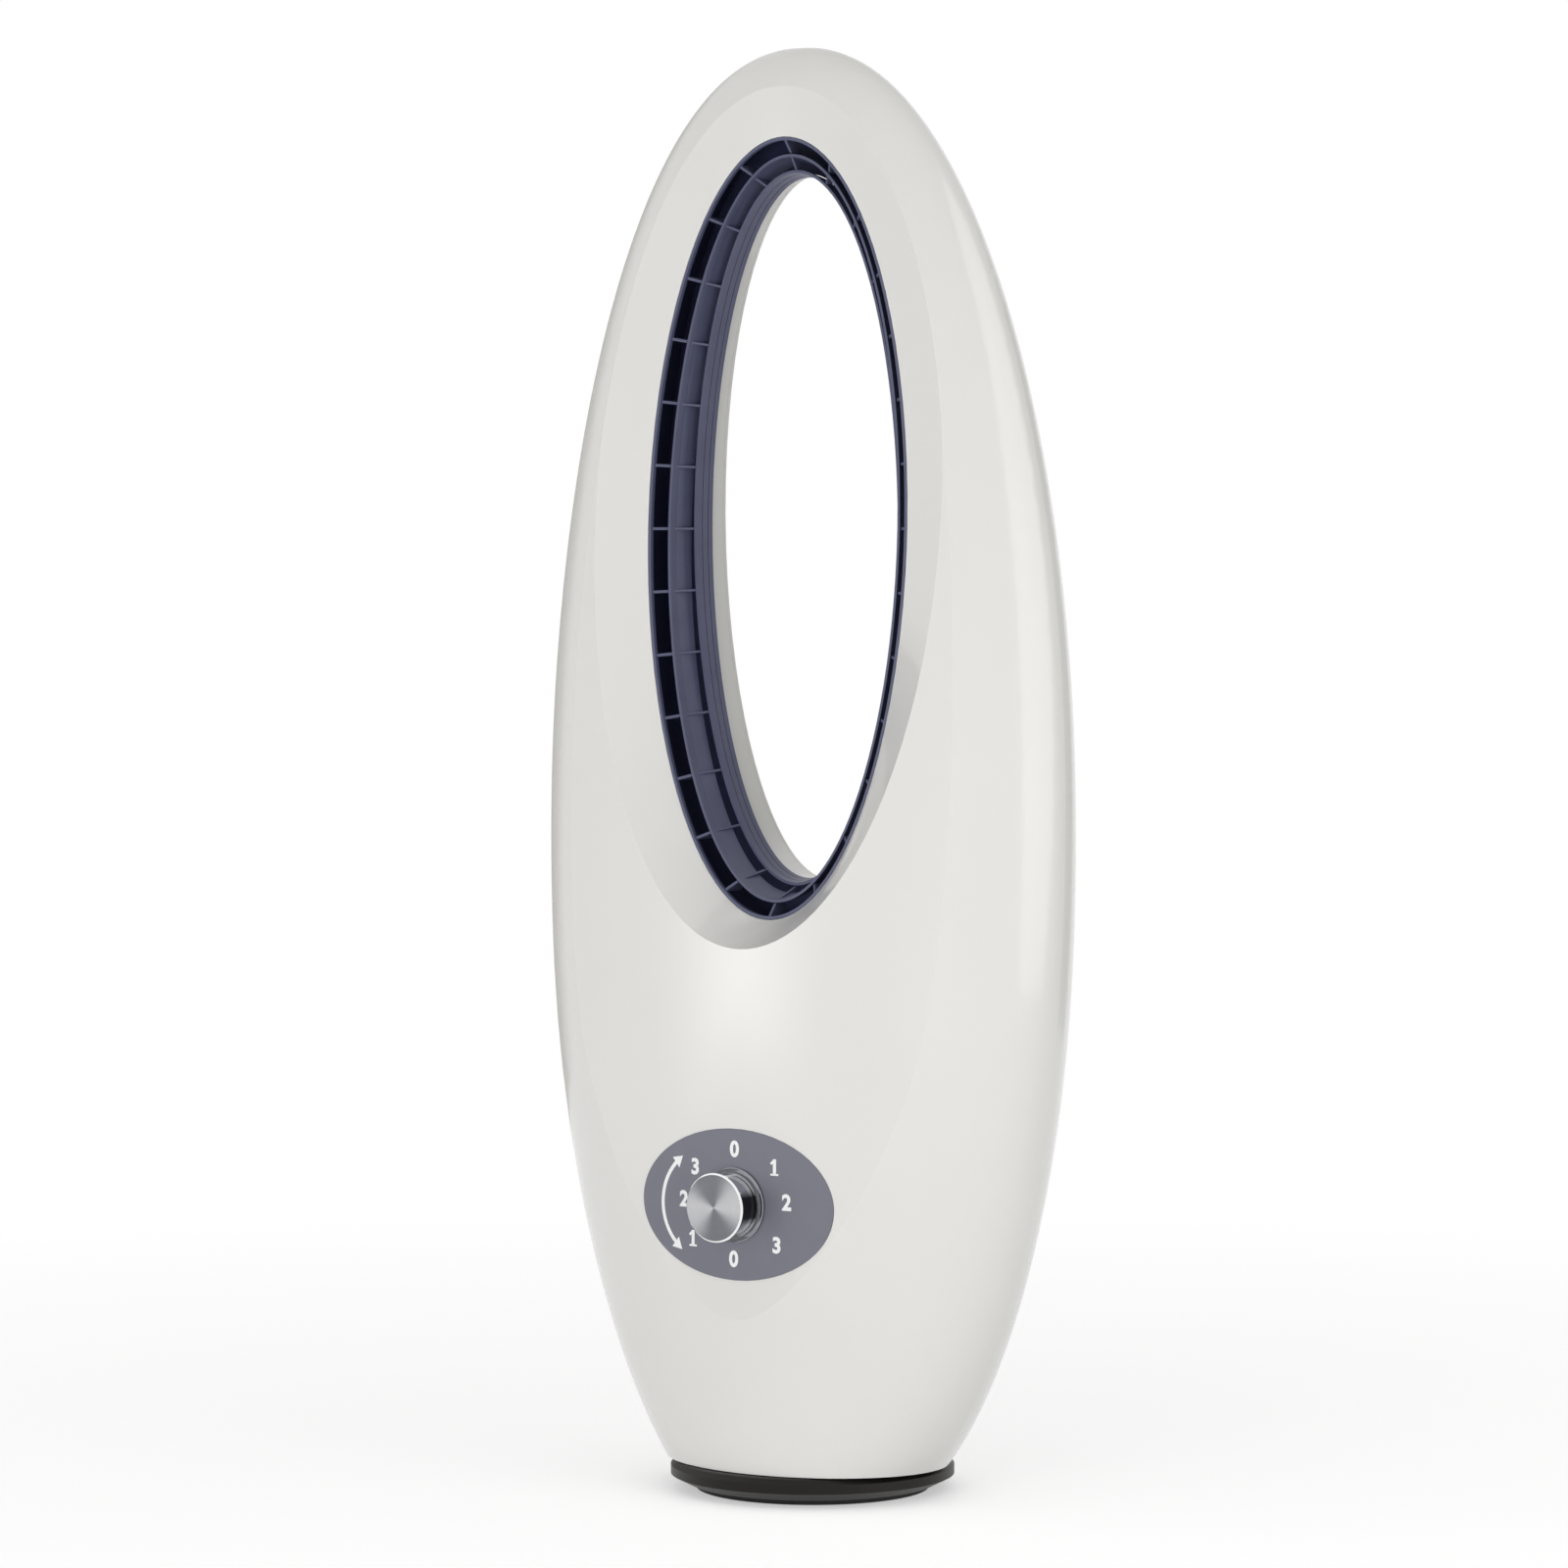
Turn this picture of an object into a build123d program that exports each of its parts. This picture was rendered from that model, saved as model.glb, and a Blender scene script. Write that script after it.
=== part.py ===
from build123d import *
import math
import os

# Bladeless fan: an oval loop over a bulging body, on a round turning base.
# Millimetres. The origin is the centre of the base's underside, on the turning
# axis. +Z is up, the air leaves along -Y, and +X is the right-hand side.

# ---------------------------------------------------------------- body outline
OVERALL_HEIGHT = 800.0
BODY_HALF_WIDTH = 170.0        # at the widest level
BODY_WIDEST_Z = 382.0
BODY_HALF_DEPTH = 80.5         # at the deepest level
BODY_DEEPEST_Z = 271.0
BODY_FOOT_HALF_DEPTH = 66.5
BODY_WIDTH_DROP = 403.0        # level drop over which the width would close
BODY_SET_FORWARD = 5.0         # body sections lie ahead of the turning axis
CROWN_LEAN = 7.2               # further lean of the very top
CROWN_LEAN_START_Z = 450.0
WIDTH_CROWN_POWERS = (1.95, 2.17)   # roundness of the outline above its widest level
WIDTH_FOOT_POWERS = (2.15, 2.37)    # and below it
DEPTH_CROWN_POWERS = (1.33, 2.04)
SHELL_WALL = 3.0
SHELL_WALL_STEP = 0.8          # share of a wall by which a funnel's ovals grow and shift
PARTING_Y = 30.0               # front and rear shells meet behind this plane
PARTING_GAP = 0.25

# ---------------------------------------------------------------- front face
FACE_LOW_Z = 105.0
FACE_LOW_Y = -75.0
FACE_HIGH_Z = 780.0
FACE_HIGH_Y = -32.0
FACE_UPRIGHT_RISE = 10.5       # crown of the face from bottom to top
FACE_CROSS_RADIUS = 651.0      # crown of the face from side to side

# ---------------------------------------------------------------- loop opening
RIM_HALF_WIDTH = 87.5
RIM_HALF_HEIGHT = 215.5
RIM_CENTRE_Z = 535.0
RIM_CENTRE_Y = -35.75
RIM_SLOPE = 0.035              # the rim plane leans back this much per mm up
DISH_HALF_WIDTH = 116.5
DISH_HALF_HEIGHT = 240.0
DISH_CENTRE_Z = 545.0
LIP_HALF_WIDTH = 68.0
LIP_HALF_HEIGHT = 196.0
LIP_CENTRE_Y = 11.5
LIP_SLOPE = 0.028
LIP_FRONT_Y = -1.4
LINER_WALL = 3.0
LINER_FIT = 0.2                  # between the liner's back and the rear shell
REAR_DISH_HALF_WIDTH = 113.0
REAR_DISH_HALF_HEIGHT = 225.0
REAR_DISH_CENTRE_Z = 525.0
REAR_DISH_CENTRE_Y = 46.6
REAR_DISH_SLOPE = 0.125

# ---------------------------------------------------------------- outlet grille
GUIDE_COUNT = 28
RIM_FLANGE = 2.0               # seen width of the grille's outer rim
GRILLE_FIT = 0.3
GRILLE_WALL = 1.6
OUTER_BAND_DEPTH = 2.4
OUTER_RIB_DEPTH = 16.0         # the outer ribs reach this far behind the rim
BLADE_STEP_IN = 9.3            # front lip of the guide blade inside the rim
BLADE_SET_BACK = 6.4
BLADE_DEPTH = 16.0
BLADE_SWEEP = 3.0              # the blade sweeps inwards by this
INNER_STEP_IN = 17.8
INNER_FRONT_Y = -16.4
INNER_REAR_Y = -3.8
INNER_TAPER = 2.0
RING_GROOVE_SHARES = (0.35, 0.7)    # where the two fine grooves lie along the bore
RING_GROOVE_DEPTH = 0.35
RING_GROOVE_WIDTH = 0.5
OUTER_RIB = 1.5
INNER_RIB = 1.2
RIB_SET_BACK = 1.0
INNER_RIB_SEAT = 4.0           # length over which a rib lies along the inner ring

# ---------------------------------------------------------------- air duct ring
DUCT_STEP_OUT = 12.0
DUCT_WALL = 1.6
DUCT_REAR_Y = -1.8
DUCT_FRONT_STEP = 4.0          # the channel starts this far outside the rim
DUCT_FRONT_BACK = 3.0
DUCT_SHOULDER_BACK = 14.0
DUCT_MOUTH_HALF_WIDTH = 26.0

# ---------------------------------------------------------------- controls
DIAL_Z = 165.0
PANEL_HALF_WIDTH = 64.0
PANEL_HALF_HEIGHT = 41.5
PANEL_PROUD = 0.5
PANEL_RECESS = 1.2
PANEL_FIT = 0.15
KNOB_RADIUS = 19.0
KNOB_WAIST_RADIUS = 16.4
KNOB_BAND = 1.4                # straight part of the side behind the face
KNOB_NECK = 3.0                # depth over which the face narrows to the waist
KNOB_STANDOFF = 19.0
KNOB_EDGE = 0.9
COLLAR_RADIUS = 20.5
COLLAR_INNER_RADIUS = 10.0
COLLAR_THICKNESS = 1.2
COLLAR_STEP_RADIUS = 18.4
COLLAR_STEP = 1.6
COLLAR_EDGE = 0.4              # bevels on the collar's two edges
COLLAR_LIFT = 0.3              # the flat collar rests on the crowned panel
KNOB_GAP = 0.5
KNOB_RECESS_RADIUS = 9.5
KNOB_RECESS_DEPTH = 5.0
KNOB_FACE_THICKNESS = 3.6
DIAL_SHAFT_RADIUS = 3.0
BUSHING_RADIUS = 4.5
SWITCH_RADIUS = 17.0
SWITCH_DEPTH = 20.0
SWITCH_PAD = 0.8
SWITCH_PAD_RADIUS = 19.0
SWITCH_TAGS = 6
SWITCH_TAG = (3.0, 6.0, 0.8)   # width, length and thickness
BUSHING_STANDOUT = 5.0         # how far the bushing stands out of the panel
NUT_THICKNESS = 2.5
NUT_ACROSS = 13.0

# ---------------------------------------------------------------- turning base
BASE_RADIUS = 79.3
BASE_HEIGHT = 16.1
BASE_WALL = 2.5
BASE_UNDERCUT = 10.0
BASE_UNDERCUT_RISE = 5.0
BASE_BEAD = 3.0
COVER_FIT = 0.2                # between the cover and what it surrounds
COVER_HAUNCH = 1.5             # thicker corner inside the cover
PIVOT_TUBE_PROUD = 0.5         # above the lock nut
FOOT_THICKNESS = 3.0
FOOT_RADIUS = 65.0
BASE_PLATE_THICKNESS = 2.4
BASE_PLATE_RADIUS = 67.0
WEIGHT_THICKNESS = 5.2
WEIGHT_RADIUS = 62.0
WEIGHT_BORE_RADIUS = 27.0
WEIGHT_FIT = 0.5               # round the cover's screw bosses
HEAD_GAP = 0.5                 # between the base and the body above it
PIVOT_RADIUS = 14.0
PIVOT_BORE_RADIUS = 9.0
PIVOT_FLANGE_RADIUS = 24.0
PIVOT_FLANGE_THICKNESS = 1.8
RUNNING_FIT = 0.06
FLOOR_THICKNESS = 3.0
FLOOR_FIT = 0.3
BALL_COUNT = 12
BALL_RADIUS = 2.2
BALL_CIRCLE_RADIUS = 42.0
RACE_HALF_WIDTH = 6.0
RACE_THICKNESS = 2.2
GROOVE_DEPTH = 0.3
BALL_PLAY = 0.05
CAGE_THICKNESS = 1.6
CAGE_HALF_WIDTH = 4.6
CAGE_FIT = 0.1                 # round each ball

# ---------------------------------------------------------------- swing drive
GEAR_MODULE = 1.0
RING_GEAR_TEETH = 80
PINION_TEETH = 14
GEAR_THICKNESS = 6.0
TOOTH_TIP = 0.8                # addendum and dedendum, in modules
TOOTH_ROOT = 1.1
PRESSURE_ANGLE = 20.0
GEAR_BACKLASH = 0.3
FACE_PLAY = 0.05
WASHER_THICKNESS = 0.7
WASHER_RADIUS = 22.0
LOCK_NUT_RADIUS = 19.0
LOCK_NUT_THICKNESS = 5.0
SWING_MOTOR_RADIUS = 24.0
SWING_MOTOR_HEIGHT = 18.0
SWING_PLATE_THICKNESS = 2.0
SWING_PLATE_GAP = 1.8          # between the gears and the plate above them
SWING_SHAFT_RADIUS = 2.5
SWING_SHAFT_SEAT = 8.0         # length of the shaft inside the motor
SWING_EAR_LEDGE = 1.5          # the motor's ears are this much wider than their posts
SWING_RIM = 1.0                # the motor's plate stands out by this
PRESS_FIT = 0.02
PINION_INSET = 0.2             # the pinion is shorter than the gear at each end
SWING_EAR_SPACING = 30.0
POST_RADIUS = 4.5

# ---------------------------------------------------------------- blower
STAND_LEG_CIRCLE = 52.0
STAND_LEG_RADIUS = 4.0
STAND_FOOT_RADIUS = 6.0
STAND_PLATE_Z = 110.0
STAND_PLATE_THICKNESS = 4.0
STAND_PLATE_RADIUS = 57.0
STAND_FOOT_THICKNESS = 3.0
MOTOR_RADIUS = 36.0
MOTOR_HEIGHT = 54.0
MOTOR_WALL = 1.5
END_PLATE_THICKNESS = 3.0
MOTOR_PAD_THICKNESS = 3.0
MOTOR_SHAFT_RADIUS = 4.0
STATOR_THICKNESS = 9.0
STATOR_LIFT = 8.0              # above the motor's end plate
STATOR_SLOTS = 12
STATOR_SLOT_RADIUS = 2.0
ROTOR_RADIUS = 22.0
ROTOR_HEIGHT = 30.0
BLOWER_Z = 188.0               # underside of the blower housing
BLOWER_RADIUS = 67.0
BLOWER_WALL = 2.0
BLOWER_HEIGHT = 70.0
INLET_RADIUS = 46.0
INLET_THICKNESS = 4.0
IMPELLER_RADIUS = 63.0
IMPELLER_HEIGHT = 50.0
IMPELLER_LIFT = 5.0
BLADE_TWIST = 38.0
HUB_WALL = 2.0
HUB_BOSS_RADIUS = 8.0
HUB_BOSS_HEIGHT = 40.0
IMPELLER_NUT_RADIUS = 7.6
IMPELLER_NUT_THICKNESS = 5.0
IMPELLER_BLADES = 11
IMPELLER_BLADE_WALL = 2.0
HUB_LOW_RADIUS = 20.0
HUB_HIGH_RADIUS = 46.0
DIFFUSER_HEIGHT = 26.0
DIFFUSER_VANES = 9
DIFFUSER_VANE_WALL = 1.6
DIFFUSER_TWIST = 20.0
ADAPTER_WALL = 1.6
ADAPTER_HALF_WIDTH = 34.0
ADAPTER_HALF_DEPTH = 12.0
ADAPTER_SHIFT = -16.0
STACK_GAP = 0.2
MOTOR_BOLT_CIRCLE = 26.0
MOTOR_PAD_RADIUS = 5.0

# ---------------------------------------------------------------- intake
SLOT_ROWS = 14
SLOT_PITCH = 8.5
SLOT_HEIGHT = 4.0
SLOT_WIDTH = 33.0
SLOT_COLUMNS = 3
SLOT_BRIDGE = 4.0
SLOT_LOW_Z = 62.0
FILTER_GAP = 0.3
FILTER_THICKNESS = 1.5
FILTER_BORDER = 6.0

# ---------------------------------------------------------------- fastenings
BOSS_RADIUS = 4.5
SCREW_RADIUS = 1.6
SCREW_HEAD_RADIUS = 3.2
SCREW_HEAD = 2.2
SCREW_FIT = 0.1
HEAD_CLEARANCE = 0.4
SHELL_BOSSES = [(70.0, 70.0), (130.0, 285.0), (128.0, 500.0)]
BOSS_MEET_Y = 10.0             # the posts of the two shells meet at this depth
CUP_WALL = 0.5
CUP_SEAT = 6.0                 # the screw heads sit this far into the cups
SHELL_SCREW_GRIP = 20.0
FLOOR_SCREW_X = 80.0
FLOOR_SCREW_FRONT_Y = -62.0
FLOOR_SCREW_REAR_Y = 52.0
FLOOR_SCREW_REACH = 9.0        # length of thread above the floor
FLOOR_BLOCK_HEIGHT = 13.5
BASE_SCREW_CIRCLE = 40.0

# ---------------------------------------------------------------- electrics
GLAND_RADIUS = 3.6
GLAND_BORE_RADIUS = 2.7
GLAND_FLANGE = 0.7
GLAND_FLANGE_THICKNESS = 1.2
GLAND_SLEEVE = 5.0
CAPACITOR_RADIUS = 14.0
CAPACITOR_HEIGHT = 30.0
CAPACITOR_X = 60.0
CAPACITOR_TAB = (6.0, 0.8, 7.0)     # width, thickness and height
CAPACITOR_TAB_SPACING = 10.0
TERMINAL_X = 56.0
TERMINAL_Y = -33.0
TERMINAL_COUNT = 4
TERMINAL_PITCH = 8.0
TERMINAL_SIZE = 14.0           # width and height of the block


# ================================================================ shared shapes
def ring(outer, inner, low, high, centre=(0.0, 0.0)):
    """Flat ring or tube about an upright axis."""
    height = high - low
    middle = Pos(centre[0], centre[1], (low + high) / 2)
    return middle * (Cylinder(outer, height) - Cylinder(inner, height + 2))


def disc(radius, low, high, centre=(0.0, 0.0)):
    """Plain cylinder about an upright axis."""
    middle = Pos(centre[0], centre[1], (low + high) / 2)
    return middle * Cylinder(radius, high - low)


def lathe_y(radii_and_depths, z):
    """Solid turned about the dial's axis, from (radius, y) corners."""
    profile = make_face(Polyline(*radii_and_depths, close=True))
    return Pos(0, 0, z) * revolve(profile, axis=Axis.Y)


def turned_points(count, radius, start_deg=0.0):
    """Points evenly spaced on a circle."""
    step = 360.0 / count
    angles = [math.radians(start_deg + step * index) for index in range(count)]
    return [(radius * math.cos(angle), radius * math.sin(angle)) for angle in angles]


def oval_wire(half_width, half_height, centre_z, y_of_z):
    """Closed oval round the loop's hole, whose depth y follows its height z."""
    points = []
    for step in range(36):
        angle = math.radians(10.0 * step)
        z = centre_z + half_height * math.sin(angle)
        x = half_width * math.cos(angle)
        points.append(Vector(x, y_of_z(x, z), z))
    return Wire([Edge.make_spline(points, periodic=True)])


def flat_oval(grow, y):
    """Upright oval, grown from the rim's size, at one depth."""
    return oval_wire(RIM_HALF_WIDTH + grow, RIM_HALF_HEIGHT + grow, RIM_CENTRE_Z, lambda x, z: y)


def rim_y(z, back=0.0):
    """Depth of the leaning rim plane, or of a plane set back from it."""
    return RIM_CENTRE_Y + (z - RIM_CENTRE_Z) * RIM_SLOPE + back


def rim_oval(grow, back):
    """Oval parallel to the rim, grown and set back from it."""
    plane_y = lambda x, z: rim_y(z, back)
    return oval_wire(RIM_HALF_WIDTH + grow, RIM_HALF_HEIGHT + grow, RIM_CENTRE_Z, plane_y)


# ================================================================ body outline
FOOT_Z = BASE_HEIGHT + HEAD_GAP


def closing(share, powers):
    """Size left, from 1 to 0, when this share of the way to the closed end is done."""
    power, root = powers
    return (1 - share ** power) ** (1 / root)


def half_width(z, inset=0.0):
    """Half the body's width at a height, for a surface set in from the skin."""
    if z > BODY_WIDEST_Z:
        rise = (z - BODY_WIDEST_Z) / (OVERALL_HEIGHT - inset - BODY_WIDEST_Z)
        return (BODY_HALF_WIDTH - inset) * closing(rise, WIDTH_CROWN_POWERS)
    drop = (BODY_WIDEST_Z - z) / BODY_WIDTH_DROP
    return BODY_HALF_WIDTH * closing(drop, WIDTH_FOOT_POWERS) - inset


def half_depth(z, inset=0.0):
    """Half the body's depth at a height."""
    if z > BODY_DEEPEST_Z:
        rise = (z - BODY_DEEPEST_Z) / (OVERALL_HEIGHT - inset - BODY_DEEPEST_Z)
        return (BODY_HALF_DEPTH - inset) * closing(rise, DEPTH_CROWN_POWERS)
    drop = min(1.0, (BODY_DEEPEST_Z - z) / (BODY_DEEPEST_Z - FOOT_Z))
    ease = (1 - math.cos(math.pi * drop)) / 2
    return BODY_HALF_DEPTH - (BODY_HALF_DEPTH - BODY_FOOT_HALF_DEPTH) * ease - inset


def middle_y(z):
    """Depth of the middle of the body's section at a height."""
    rise = max(0.0, (z - CROWN_LEAN_START_Z) / (OVERALL_HEIGHT - CROWN_LEAN_START_Z))
    return -BODY_SET_FORWARD - CROWN_LEAN * rise ** 2


def front_y(x, z):
    """Depth of the crowned front face."""
    middle_z = (FACE_LOW_Z + FACE_HIGH_Z) / 2
    reach = (FACE_HIGH_Z - FACE_LOW_Z) / 2
    rise = FACE_UPRIGHT_RISE * (1 - ((z - middle_z) / reach) ** 2)
    slope = (FACE_HIGH_Y - FACE_LOW_Y) / (FACE_HIGH_Z - FACE_LOW_Z)
    plane = FACE_LOW_Y + (z - FACE_LOW_Z) * slope
    return plane - rise + x * x / (2 * FACE_CROSS_RADIUS)


def egg(inset, low_z):
    """The full rounded body before its front is faced off."""
    lower = [low_z + (BODY_WIDEST_Z - low_z) * (1 - math.cos(math.radians(10 * k))) for k in range(9)]
    reach = OVERALL_HEIGHT - inset - BODY_WIDEST_Z
    upper = [BODY_WIDEST_Z + reach * math.sin(math.radians(7.375 * k)) for k in range(13)]
    sections = []
    for z in lower + upper:
        plane = Plane((0, middle_y(z), z))
        edge = Edge.make_ellipse(half_width(z, inset), half_depth(z, inset), plane)
        sections.append(Wire([edge]))
    return Solid.make_loft(sections)


def behind_face(inset):
    """Everything behind the crowned front face, as a barrel-shaped block."""
    chord = math.hypot(FACE_HIGH_Z - FACE_LOW_Z, FACE_HIGH_Y - FACE_LOW_Y)
    radius = chord ** 2 / (8 * FACE_UPRIGHT_RISE) + FACE_UPRIGHT_RISE / 2
    tilt = math.atan2(FACE_HIGH_Y - FACE_LOW_Y, FACE_HIGH_Z - FACE_LOW_Z)
    out = Vector(0, -math.cos(tilt), math.sin(tilt))
    middle = Vector(0, (FACE_LOW_Y + FACE_HIGH_Y) / 2, (FACE_LOW_Z + FACE_HIGH_Z) / 2)
    crown = middle + out * (FACE_UPRIGHT_RISE - inset)
    half = BODY_HALF_WIDTH * 1.6
    cross = FACE_CROSS_RADIUS - inset
    sag = cross - math.sqrt(cross ** 2 - half ** 2)
    deep = 4 * BODY_HALF_DEPTH
    left = crown - out * sag - Vector(half, 0, 0)
    right = crown - out * sag + Vector(half, 0, 0)
    back = out * (sag - deep)
    outline = Wire([
        Edge.make_three_point_arc(left, crown, right),
        Edge.make_line(right, right + back),
        Edge.make_line(right + back, left + back),
        Edge.make_line(left + back, left),
    ])
    axis = Axis(crown - out * (radius - inset), (1, 0, 0))
    sweep = 2 * math.degrees(OVERALL_HEIGHT * 0.62 / radius)
    start = Face(outline).rotate(axis, -sweep / 2)
    return Solid.revolve(start, sweep, axis)


# ================================================================ loop opening
def dish(grow=0.0):
    """Space of the funnel from the front face down to the grille's rim."""
    step = SHELL_WALL_STEP * grow
    rim_wire = rim_oval(step, step)
    flare = 1.15
    points = []
    for k in range(36):
        angle = math.radians(10.0 * k)
        x_rim = (RIM_HALF_WIDTH + step) * math.cos(angle)
        z_rim = RIM_CENTRE_Z + (RIM_HALF_HEIGHT + step) * math.sin(angle)
        x_edge = (DISH_HALF_WIDTH + step) * math.cos(angle)
        z_edge = DISH_CENTRE_Z + (DISH_HALF_HEIGHT + step) * math.sin(angle)
        y_rim = rim_y(z_rim, step)
        y_edge = front_y(x_edge, z_edge) + step
        x = x_rim + flare * (x_edge - x_rim)
        y = y_rim + flare * (y_edge - y_rim)
        z = z_rim + flare * (z_edge - z_rim)
        points.append(Vector(x, y, z))
    edge_wire = Wire([Edge.make_spline(points, periodic=True)])
    far_y = 2 * FACE_LOW_Y
    far_wire = oval_wire(1.1 * DISH_HALF_WIDTH, 1.1 * DISH_HALF_HEIGHT, DISH_CENTRE_Z, lambda x, z: far_y)
    return Solid.make_loft([rim_wire, edge_wire, far_wire], ruled=True)


def lip_y(z):
    """Depth of the rear lip's leaning plane."""
    return LIP_CENTRE_Y - (z - RIM_CENTRE_Z) * LIP_SLOPE


def rear_dish(grow=0.0):
    """Space of the funnel behind the loop's hole."""
    step = SHELL_WALL_STEP * grow
    lip_plane = lambda x, z: lip_y(z) - step
    lip_wire = oval_wire(LIP_HALF_WIDTH + step, LIP_HALF_HEIGHT + step, RIM_CENTRE_Z, lip_plane)
    flare = 1.25
    wide = LIP_HALF_WIDTH + flare * (REAR_DISH_HALF_WIDTH - LIP_HALF_WIDTH) + step
    tall = LIP_HALF_HEIGHT + flare * (REAR_DISH_HALF_HEIGHT - LIP_HALF_HEIGHT) + step
    centre_z = RIM_CENTRE_Z + flare * (REAR_DISH_CENTRE_Z - RIM_CENTRE_Z)
    centre_y = LIP_CENTRE_Y + flare * (REAR_DISH_CENTRE_Y - LIP_CENTRE_Y) - step
    plane = lambda x, z: centre_y - (z - centre_z) * REAR_DISH_SLOPE
    edge_wire = oval_wire(wide, tall, centre_z, plane)
    far_wire = oval_wire(wide, tall, centre_z, lambda x, z: 2 * BODY_HALF_DEPTH)
    return Solid.make_loft([lip_wire, edge_wire, far_wire], ruled=True)


def through_oval(grow, low_y, high_y):
    """Straight plug along Y of the rim's oval shape."""
    return Solid.make_loft([flat_oval(grow, low_y), flat_oval(grow, high_y)], ruled=True)


def lip_plug():
    """Straight plug along Y that opens the rear shell's hole."""
    low_y = LIP_FRONT_Y - 1.0
    high_y = 3 * LIP_CENTRE_Y
    low = oval_wire(LIP_HALF_WIDTH, LIP_HALF_HEIGHT, RIM_CENTRE_Z, lambda x, z: low_y)
    high = oval_wire(LIP_HALF_WIDTH, LIP_HALF_HEIGHT, RIM_CENTRE_Z, lambda x, z: high_y)
    return Solid.make_loft([low, high], ruled=True)


def loop_liner():
    """Pale liner of the hole, between the grille's channel and the rear shell."""
    back = SHELL_WALL_STEP * SHELL_WALL + LINER_FIT
    forms = []
    for step in (LINER_WALL, 0.0):
        wide = LIP_HALF_WIDTH + step
        tall = LIP_HALF_HEIGHT + step
        front_wire = oval_wire(wide, tall, RIM_CENTRE_Z, lambda x, z: LIP_FRONT_Y)
        back_wire = oval_wire(wide, tall, RIM_CENTRE_Z, lambda x, z: lip_y(z) - back)
        forms.append(Solid.make_loft([front_wire, back_wire], ruled=True))
    return forms[0] - forms[1]


# ================================================================ shells
def outer_form():
    """Outside of the finished body, with the loop's hole through it."""
    form = egg(0.0, FOOT_Z) & behind_face(0.0)
    form = form - dish() - rear_dish()
    return form - through_oval(0.0, 2 * RIM_CENTRE_Y, LIP_FRONT_Y) - lip_plug()


def cavity():
    """Hollow inside the shells."""
    hollow = egg(SHELL_WALL, FOOT_Z - 4.0) & behind_face(SHELL_WALL)
    return hollow - dish(SHELL_WALL) - rear_dish(SHELL_WALL)


def rod_y(radius, x, z, low_y, high_y):
    """Round bar along Y."""
    middle = Pos(x, (low_y + high_y) / 2, z) * Rot(90, 0, 0)
    return middle * Cylinder(radius, high_y - low_y)


def boss_places():
    """Where the two shells are screwed together, left and right."""
    return [(side * x, z) for x, z in SHELL_BOSSES for side in (-1, 1)]


def panel_plug(fit):
    """Oval bar along Y that cuts or bounds the control panel."""
    outline = Ellipse(PANEL_HALF_WIDTH + fit, PANEL_HALF_HEIGHT + fit)
    reach = 2 * abs(FACE_LOW_Y)
    return Pos(0, 0, DIAL_Z) * Rot(90, 0, 0) * extrude(outline, reach)


PANEL_FACE_Y = front_y(0.0, DIAL_Z) - PANEL_PROUD
SWITCH_Y = front_y(0.0, DIAL_Z) + SHELL_WALL + SWITCH_PAD
COLLAR_BACK_Y = PANEL_FACE_Y - COLLAR_LIFT
COLLAR_FRONT_Y = COLLAR_BACK_Y - COLLAR_THICKNESS - COLLAR_STEP
KNOB_BACK_Y = COLLAR_FRONT_Y - KNOB_GAP
KNOB_FACE_Y = PANEL_FACE_Y - KNOB_STANDOFF
BUSHING_END_Y = PANEL_FACE_Y - BUSHING_STANDOUT
RACE_TOP_Z = BASE_HEIGHT + RACE_THICKNESS
BALL_Z = RACE_TOP_Z - GROOVE_DEPTH + BALL_RADIUS + BALL_PLAY
FLOOR_Z = 2 * BALL_Z - BASE_HEIGHT
FLOOR_TOP_Z = FLOOR_Z + FLOOR_THICKNESS


def floor_screw_places():
    """Where the floor is screwed up into the shells."""
    return [
        (FLOOR_SCREW_X, -BODY_SET_FORWARD),
        (-FLOOR_SCREW_X, -BODY_SET_FORWARD),
        (0.0, FLOOR_SCREW_FRONT_Y),
        (0.0, FLOOR_SCREW_REAR_Y),
    ]


def floor_block(x, y):
    """Block inside a shell that takes one floor screw."""
    height = FLOOR_BLOCK_HEIGHT
    toward_x = 0.0 if x == 0 else math.copysign(BODY_HALF_WIDTH, x)
    toward_y = 0.0 if x != 0 else math.copysign(BODY_HALF_DEPTH, y)
    centre_z = FLOOR_TOP_Z + FACE_PLAY + height / 2
    length_x = 2 * BOSS_RADIUS if x == 0 else abs(toward_x - x) + BOSS_RADIUS
    length_y = 2 * BOSS_RADIUS if x != 0 else abs(toward_y - y) + BOSS_RADIUS
    centre_x = x if x == 0 else x + math.copysign(length_x / 2 - BOSS_RADIUS, x)
    centre_y = y if x != 0 else y + math.copysign(length_y / 2 - BOSS_RADIUS, y)
    block = Pos(centre_x, centre_y, centre_z) * Box(length_x, length_y, height)
    bore_top = FLOOR_TOP_Z + FLOOR_SCREW_REACH + 1.0
    bore = disc(SCREW_RADIUS + SCREW_FIT, centre_z - height, bore_top, (x, y))
    return block - bore


def boss_posts(radius, low_y, high_y):
    """One round bar for each screw place between the shells."""
    return [rod_y(radius, x, z, low_y, high_y) for x, z in boss_places()]


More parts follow.
